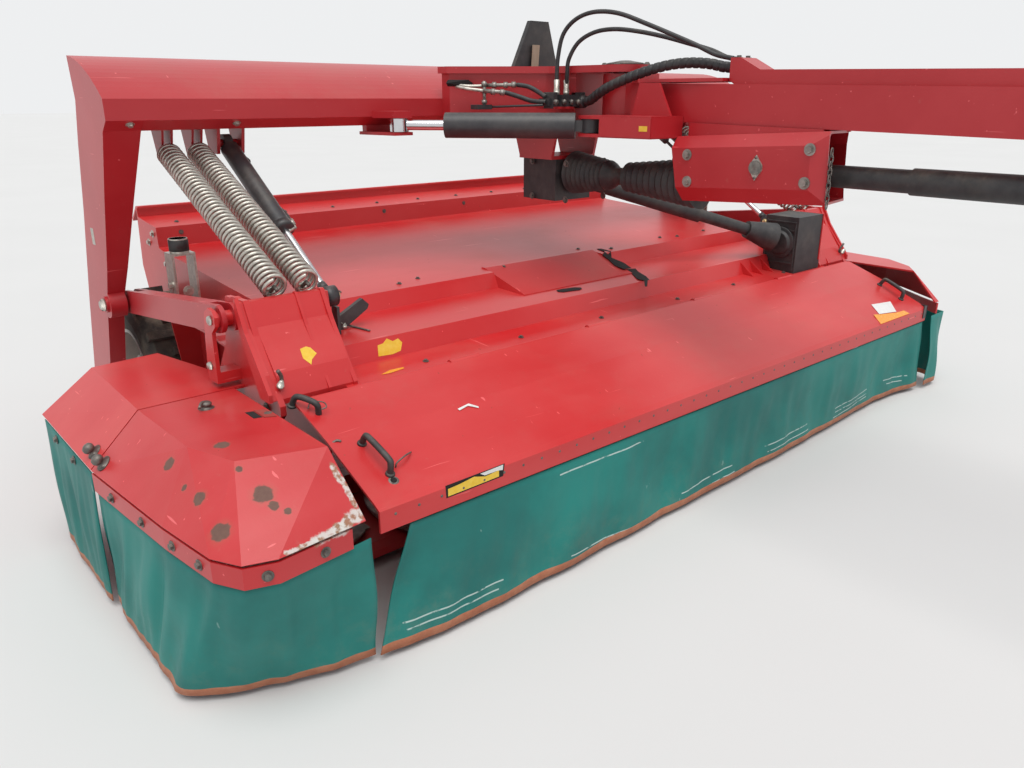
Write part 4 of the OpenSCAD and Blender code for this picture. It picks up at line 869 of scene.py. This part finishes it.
web = Shape("steer_bracket_web")
for (x, y), (last_x, last_y) in (((-266.5, -722), (-240.5, -941)), ((-240.5, -941), (-78, -950))):
    web.slab([spot(x, y, 1286), spot(last_x, last_y, 1286), spot(last_x, last_y, 1354), spot(x, y, 1354)], 0.003,
             frame_red)
web.label([(-249, -895, 1326), (-249, -895, 1308), (-245, -929, 1308), (-245, -929, 1326)], yellow, 1)
web.piece("drawbar", "red_paint")

neck = Shape("drive_shaft_neck")
neck.turned((0, -534, 1120), FRONT, [(0, 60), (8, 60), (14, 52), (22, 54), (28, 43), (36, 45), (42, 34), (104, 34),
                                      (108, 44), (112, 50), (118, 56)], black_plastic, 32)
neck = neck.piece(None, "black_plastic")
tuple(spot(0, -552, 1120))
tuple(spot(0, -638, 1120))
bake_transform(neck)

crank = Shape("jack_crank")
crank.turned((-178, -4150, 800), RIGHT, [(0, 28), (20, 28), (22, 24), (22, 12), (42, 12)], black_paint)
crank.bar([(-212, -4150, 800), (-218, -4150, 812), (-218, -4150, 930)], 7, black_paint)
crank.bar([(-214, -4150, 926), (-292, -4150, 926)], 13, black_plastic)
crank.piece("drawbar", "black_paint")


# -------- header

# A black plate for the slot in the roof: painted shade inside the opening.
roof_slot_painted_shade = Shape("roof_slot_painted_shade")
roof_slot_painted_shade.label([(-272, -520, 677), (-282, -540, 676), (-268, -556, 675), (-190, -572, 675), (-166, -562, 675),
                  (-158, -548, 676), (-176, -532, 677), (-240, -518, 677)], shade_and_print_black, 1)
roof_slot_painted_shade.piece("header", "black_plastic")

scraps = Shape("label_scraps")
scraps.label([(-1198, -631, 651), (-1205, -645, 618), (-1150, -646, 615), (-1118, -644, 620), (-1104, -634, 644),
              (-1116, -628, 659), (-1138, -630, 654), (-1158, -625, 666), (-1176, -630, 654)], yellow, 1)
scraps.label([(-1507, -703, 718), (-1509, -722, 694), (-1492, -738, 675), (-1484, -728, 687), (-1462, -718, 699),
              (-1474, -704, 716), (-1486, -700, 721)], yellow, 1)
scraps.label([(-1268, -760, 599), (-1240, -766, 599), (-1180, -756, 599), (-1176, -746, 600), (-1225, -742, 600)],
             orange, 0.5)
scraps.piece("header", "red_paint")

lever = Shape("latch_lever")
lever.label([(x, -450, z) for x, z in ((-1258, 688), (-1252, 672), (-1238, 670), (-1130, 734), (-1124, 748),
                                       (-1148, 772), (-1257, 716))], black_paint, 18)
lever.block((-1272, -512, 676), (-1262, -476, 770), black_paint)
lever.bar([(-1236, -470, 700), (-1214, -452, 690), (-1190, -470, 680), (-1170, -540, 677)], 4, dark_steel, 4, 8)
lever.turned((-1222, -462, 680), UP, [(0, 11), (10, 11), (10, 6), (20, 6)], zinc, 6)
lever.piece("header", "black_paint")

latch = Shape("bracket_latches")
for side in (-1, 1):
    latch.bar([(side * 1598, -752, 640), (side * 1600, -762, 668), (side * 1612, -768, 690)], 6, dark_steel, 3, 8)
    latch.turned((side * 1608, -764, 640), (0, -0.6, 0.8), [(0, 11), (8, 11), (8, 6), (26, 6)], zinc, 8)
    for y, z, wide, slim, end in ((-545, 808, 16, 11, 9), (-505, 660, 14, 9, 12)):
        latch.turned((side * 1702, y, z), (side, 0, 0), [(0, wide), (4, wide), (4, slim), (end, slim)], zinc, 6)
latch.piece("header", "zinc_steel")

stop_tops = Shape("stop_tops")
for side in (-1, 1):
    stop_tops.turned((side * 1536, 130, 946), UP, [(-44, 34.5), (-6, 34.5), (0, 30), (0, 14), (-6, 11), (-6, 1)],
                     black_plastic, 32)
stop_tops.piece("header", "black_plastic")

housing = Shape("header_gearbox_trim")
for z in (640, 690, 800, 840):
    housing.block((1106, -772, z), (1110, -608, z + 8), black_plastic)
for y in (-772, -616):
    housing.block((1104, y, 610), (1110, y + 8, 850), black_plastic)
housing.turned((1110, -690, 742), RIGHT, [(0, 78), (8, 76), (9, 60), (22, 52), (23, 44)], black_plastic, 36)
housing.block((1332, -786, 640), (1338, -650, 872), cover_red)
housing.piece("header", "black_plastic", 0.002)

gussets = Shape("roof_gussets")
for x in (880, 960, 1050):
    gussets.slab([spot(x, -625, 664), spot(x, -652, 602), spot(x, -712, 600)], 0.006, cover_red)
gussets.piece("header", "red_paint")

# Black plates along the roof's tear: painted shade in the gap and in the opening under the torn edges.
tear = Shape("roof_tear_painted_shade")
tear.label([(264, -238, 746), (252, -300, 743), (214, -322, 736), (206, -372, 720), (188, -420, 706),
            (196, -470, 694), (248, -470, 692), (262, -410, 706), (246, -350, 722), (288, -306, 742),
            (284, -244, 746)], shade_and_print_black, 1.2)
tear.label([(244, -442, 683), (216, -500, 677), (150, -590, 676), (146, -627, 676), (172, -640, 676),
            (216, -583, 677), (262, -500, 678), (293, -456, 682)], shade_and_print_black, 1.2)
tear.label([(148, -630, 677), (60, -708, 676), (66, -716, 676), (160, -640, 677)], shade_and_print_black, 1.2)
tear.piece("header", "red_paint")


# -------- covers

def bow_handle(name, body, first, last, normal):
    """A black bow grip on two feet."""
    rise = 42
    first, last, normal = Vector(first), Vector(last), Vector(normal).normalized()
    along = (last - first).normalized()
    grip = Shape(name)
    line = [first, first + normal * rise * 0.75 + along * 6, first + normal * rise + along * 22,
            last + normal * rise - along * 22, last + normal * rise * 0.75 - along * 6, last]
    grip.bar(line, 9, black_plastic, 4, 12)
    for foot in (first, last):
        grip.turned(foot, normal, [(0, 14), (5, 13), (7, 10)], black_plastic, 16)
    grip.piece(body, "black_plastic")


bow_handle("front_cover_grip_outer", "front_cover", (-1600, -812, 592), (-1556, -884, 572), (0, -0.33, 0.94))
bow_handle("front_cover_grip_inner", "front_cover", (-1511, -1036, 524), (-1501, -1157, 473), COVER_SLOPE)
bow_handle("front_cover_grip_left", "front_cover", (1511, -1036, 524), (1501, -1157, 473), COVER_SLOPE)

bits = Shape("front_cover_bits")
bits.bar([(-1474, -1143, 481), (-1470, -1146, 494), (-1440, -1140, 503), (-1406, -1118, 496)], 2.4, dark_steel, 4, 8)
bits.bar([(-1566, -884, 590), (-1540, -902, 600), (-1534, -872, 606), (-1560, -850, 604), (-1580, -872, 598)], 2.0,
         dark_steel, 5, 8)
bits.turned((-1504, -1178, 463), COVER_SLOPE, [(0, 17), (1.2, 15), (1.2, 1)], dark_steel, 14)
# The black disc in the washer's middle is painted shade in its hole.
bits.turned((-1504, -1178, 464), COVER_SLOPE, [(0, 9), (2, 9), (2, 1)], shade_and_print_black, 12)
bits.bar([(-1592, -1000, 530), (-1570, -1004, 540), (-1560, -1010, 536)], 4, dark_steel, 3, 8)
bits.piece("front_cover", "zinc_steel")

labels = Shape("front_cover_labels")
LIP = -1250
labels.label([(-1388, LIP, 436), (-1386, LIP, 398), (-1184, LIP, 400), (-1178, LIP, 438)], shade_and_print_black, 0.4)
labels.label([(-1380, LIP, 424), (-1380, LIP, 402), (-1200, LIP, 404), (-1200, LIP, 424), (-1250, LIP, 420),
              (-1290, LIP, 432), (-1340, LIP, 426)], yellow, 1.0)
labels.label([(-1268, LIP, 434), (-1252, LIP, 424), (-1204, LIP, 424), (-1186, LIP, 420), (-1184, LIP, 436)],
             white, 1.1)
labels.label([(1238, -1133, 485), (1196, -1196, 458), (1334, -1215, 450), (1398, -1151, 478)], white, 0.8)
labels.label([(1150, -1190, 462), (1114, -1247, 434), (1410, -1247, 434), (1400, -1222, 446), (1330, -1220, 447),
              (1196, -1200, 457)], orange, 0.8)
labels.label([(-1166, -1028, 531), (-1128, -1020, 534), (-1102, -1040, 526), (-1098, -1034, 528), (-1120, -1012, 537),
              (-1168, -1020, 534)], white, 0.6)
labels.piece("front_cover", "red_paint")

corner = Shape("lip_corner_bracket")
corner.block((1560, -1254, 384), (1590, -1250, 446), black_paint)
corner.block((1586, -1254, 384), (1592, -1200, 446), black_paint)
corner.piece("front_cover", "black_paint")


def knob(shape, place, normal, tall=1.0):
    """A worn ball knob on a rusty washer."""
    profile = [(0, 23), (3, 23), (3, 10), (12, 9), (15, 15), (23, 17), (31, 14), (35, 7), (36, 1)]
    shape.turned(place, normal, [(along * tall, r) for along, r in profile], dark_steel, 20)


slope_out = (-0.69, 0, 0.72)
knobs = Shape("right_cover_knobs")
knob(knobs, (-2058, -592, 476), slope_out)
knob(knobs, (-1789, -664, 591), UP, 0.6)
knobs.bar([(-1789, -664, 610), (-1802, -670, 612), (-1816, -690, 606)], 4.5, dark_steel, 3, 8)
knobs.turned((-1676, -1064, 574), UP, [(0, 14), (5, 13), (5, 8), (16, 8), (17, 1)], dark_steel, 10)
knobs.piece("side_cover_right", "zinc_steel")
rear_knobs = Shape("rear_panel_knobs")
knob(rear_knobs, (-2056, -500, 478), slope_out)
knob(rear_knobs, (2034, -500, 478), (0.69, 0, 0.72))
rear_knobs.piece("header", "zinc_steel")
left_knobs = Shape("left_cover_knobs")
knob(left_knobs, (1789, -664, 591), UP, 0.6)
left_knobs.piece("side_cover_left", "zinc_steel")

slot_plate = Shape("right_cover_slot")
# The black plate is painted shade inside the cover's slot.
slot_plate.label(level(592, (-1722, -772), (-1722, -830), (-1700, -836), (-1700, -778)), shade_and_print_black, 0.8)
slot_plate.label(level(592, (-1698, -776), (-1698, -842), (-1668, -858), (-1668, -792)), worn_red, 2.5)
slot_plate.turned((-1676, -820, 594), UP, [(0, 11), (1, 11), (1, 6), (2, 1)], dark_steel, 14)
slot_plate.piece("side_cover_right", "red_paint")


# -------- stage and light

stage_floor = bpy.data.meshes.new("studio_floor")
stage_floor.from_pydata([(-90, -90, 0), (90, -90, 0), (90, 90, 0), (-90, 90, 0)], [], [(0, 1, 2, 3)])
floor = linked("studio_floor", stage_floor)
pale = Finish("studio_floor_pale")
tone = pale.mix(pale.noise(0.6, 3), (0.66, 0.66, 0.655), (0.7, 0.7, 0.695))
stage_floor.materials.append(pale.shine(tone, 0.9, Specular_IOR_Level=0.1))

world = bpy.data.worlds.new("soft_studio")
bpy.context.scene.world = world
world.use_nodes = True
sky = Tree(world.node_tree)
world.node_tree.nodes.clear()
seen = sky.node("ShaderNodeLightPath", output="Is Camera Ray")
mirrored = seen.most(seen.out("Is Glossy Ray")).most(seen.out("Is Transmission Ray"))
light = sky.node("ShaderNodeBackground", None, (0.88, 0.91, 0.95, 1), 0.62)
backdrop = sky.node("ShaderNodeBackground", None, (0.93, 0.94, 0.95, 1), 0.92)
sky.node("ShaderNodeOutputWorld", None, sky.node("ShaderNodeMixShader", None, mirrored, light, backdrop))

sun = bpy.data.lights.new("soft_sun", "SUN")
sun.energy, sun.angle, sun.color = 2.3, math.radians(50), (1.0, 0.98, 0.95)
key = linked("soft_sun", sun)
key.rotation_euler = [math.radians(a) for a in (16, -12, 0)]

bpy.context.scene.view_settings.view_transform = "Standard"
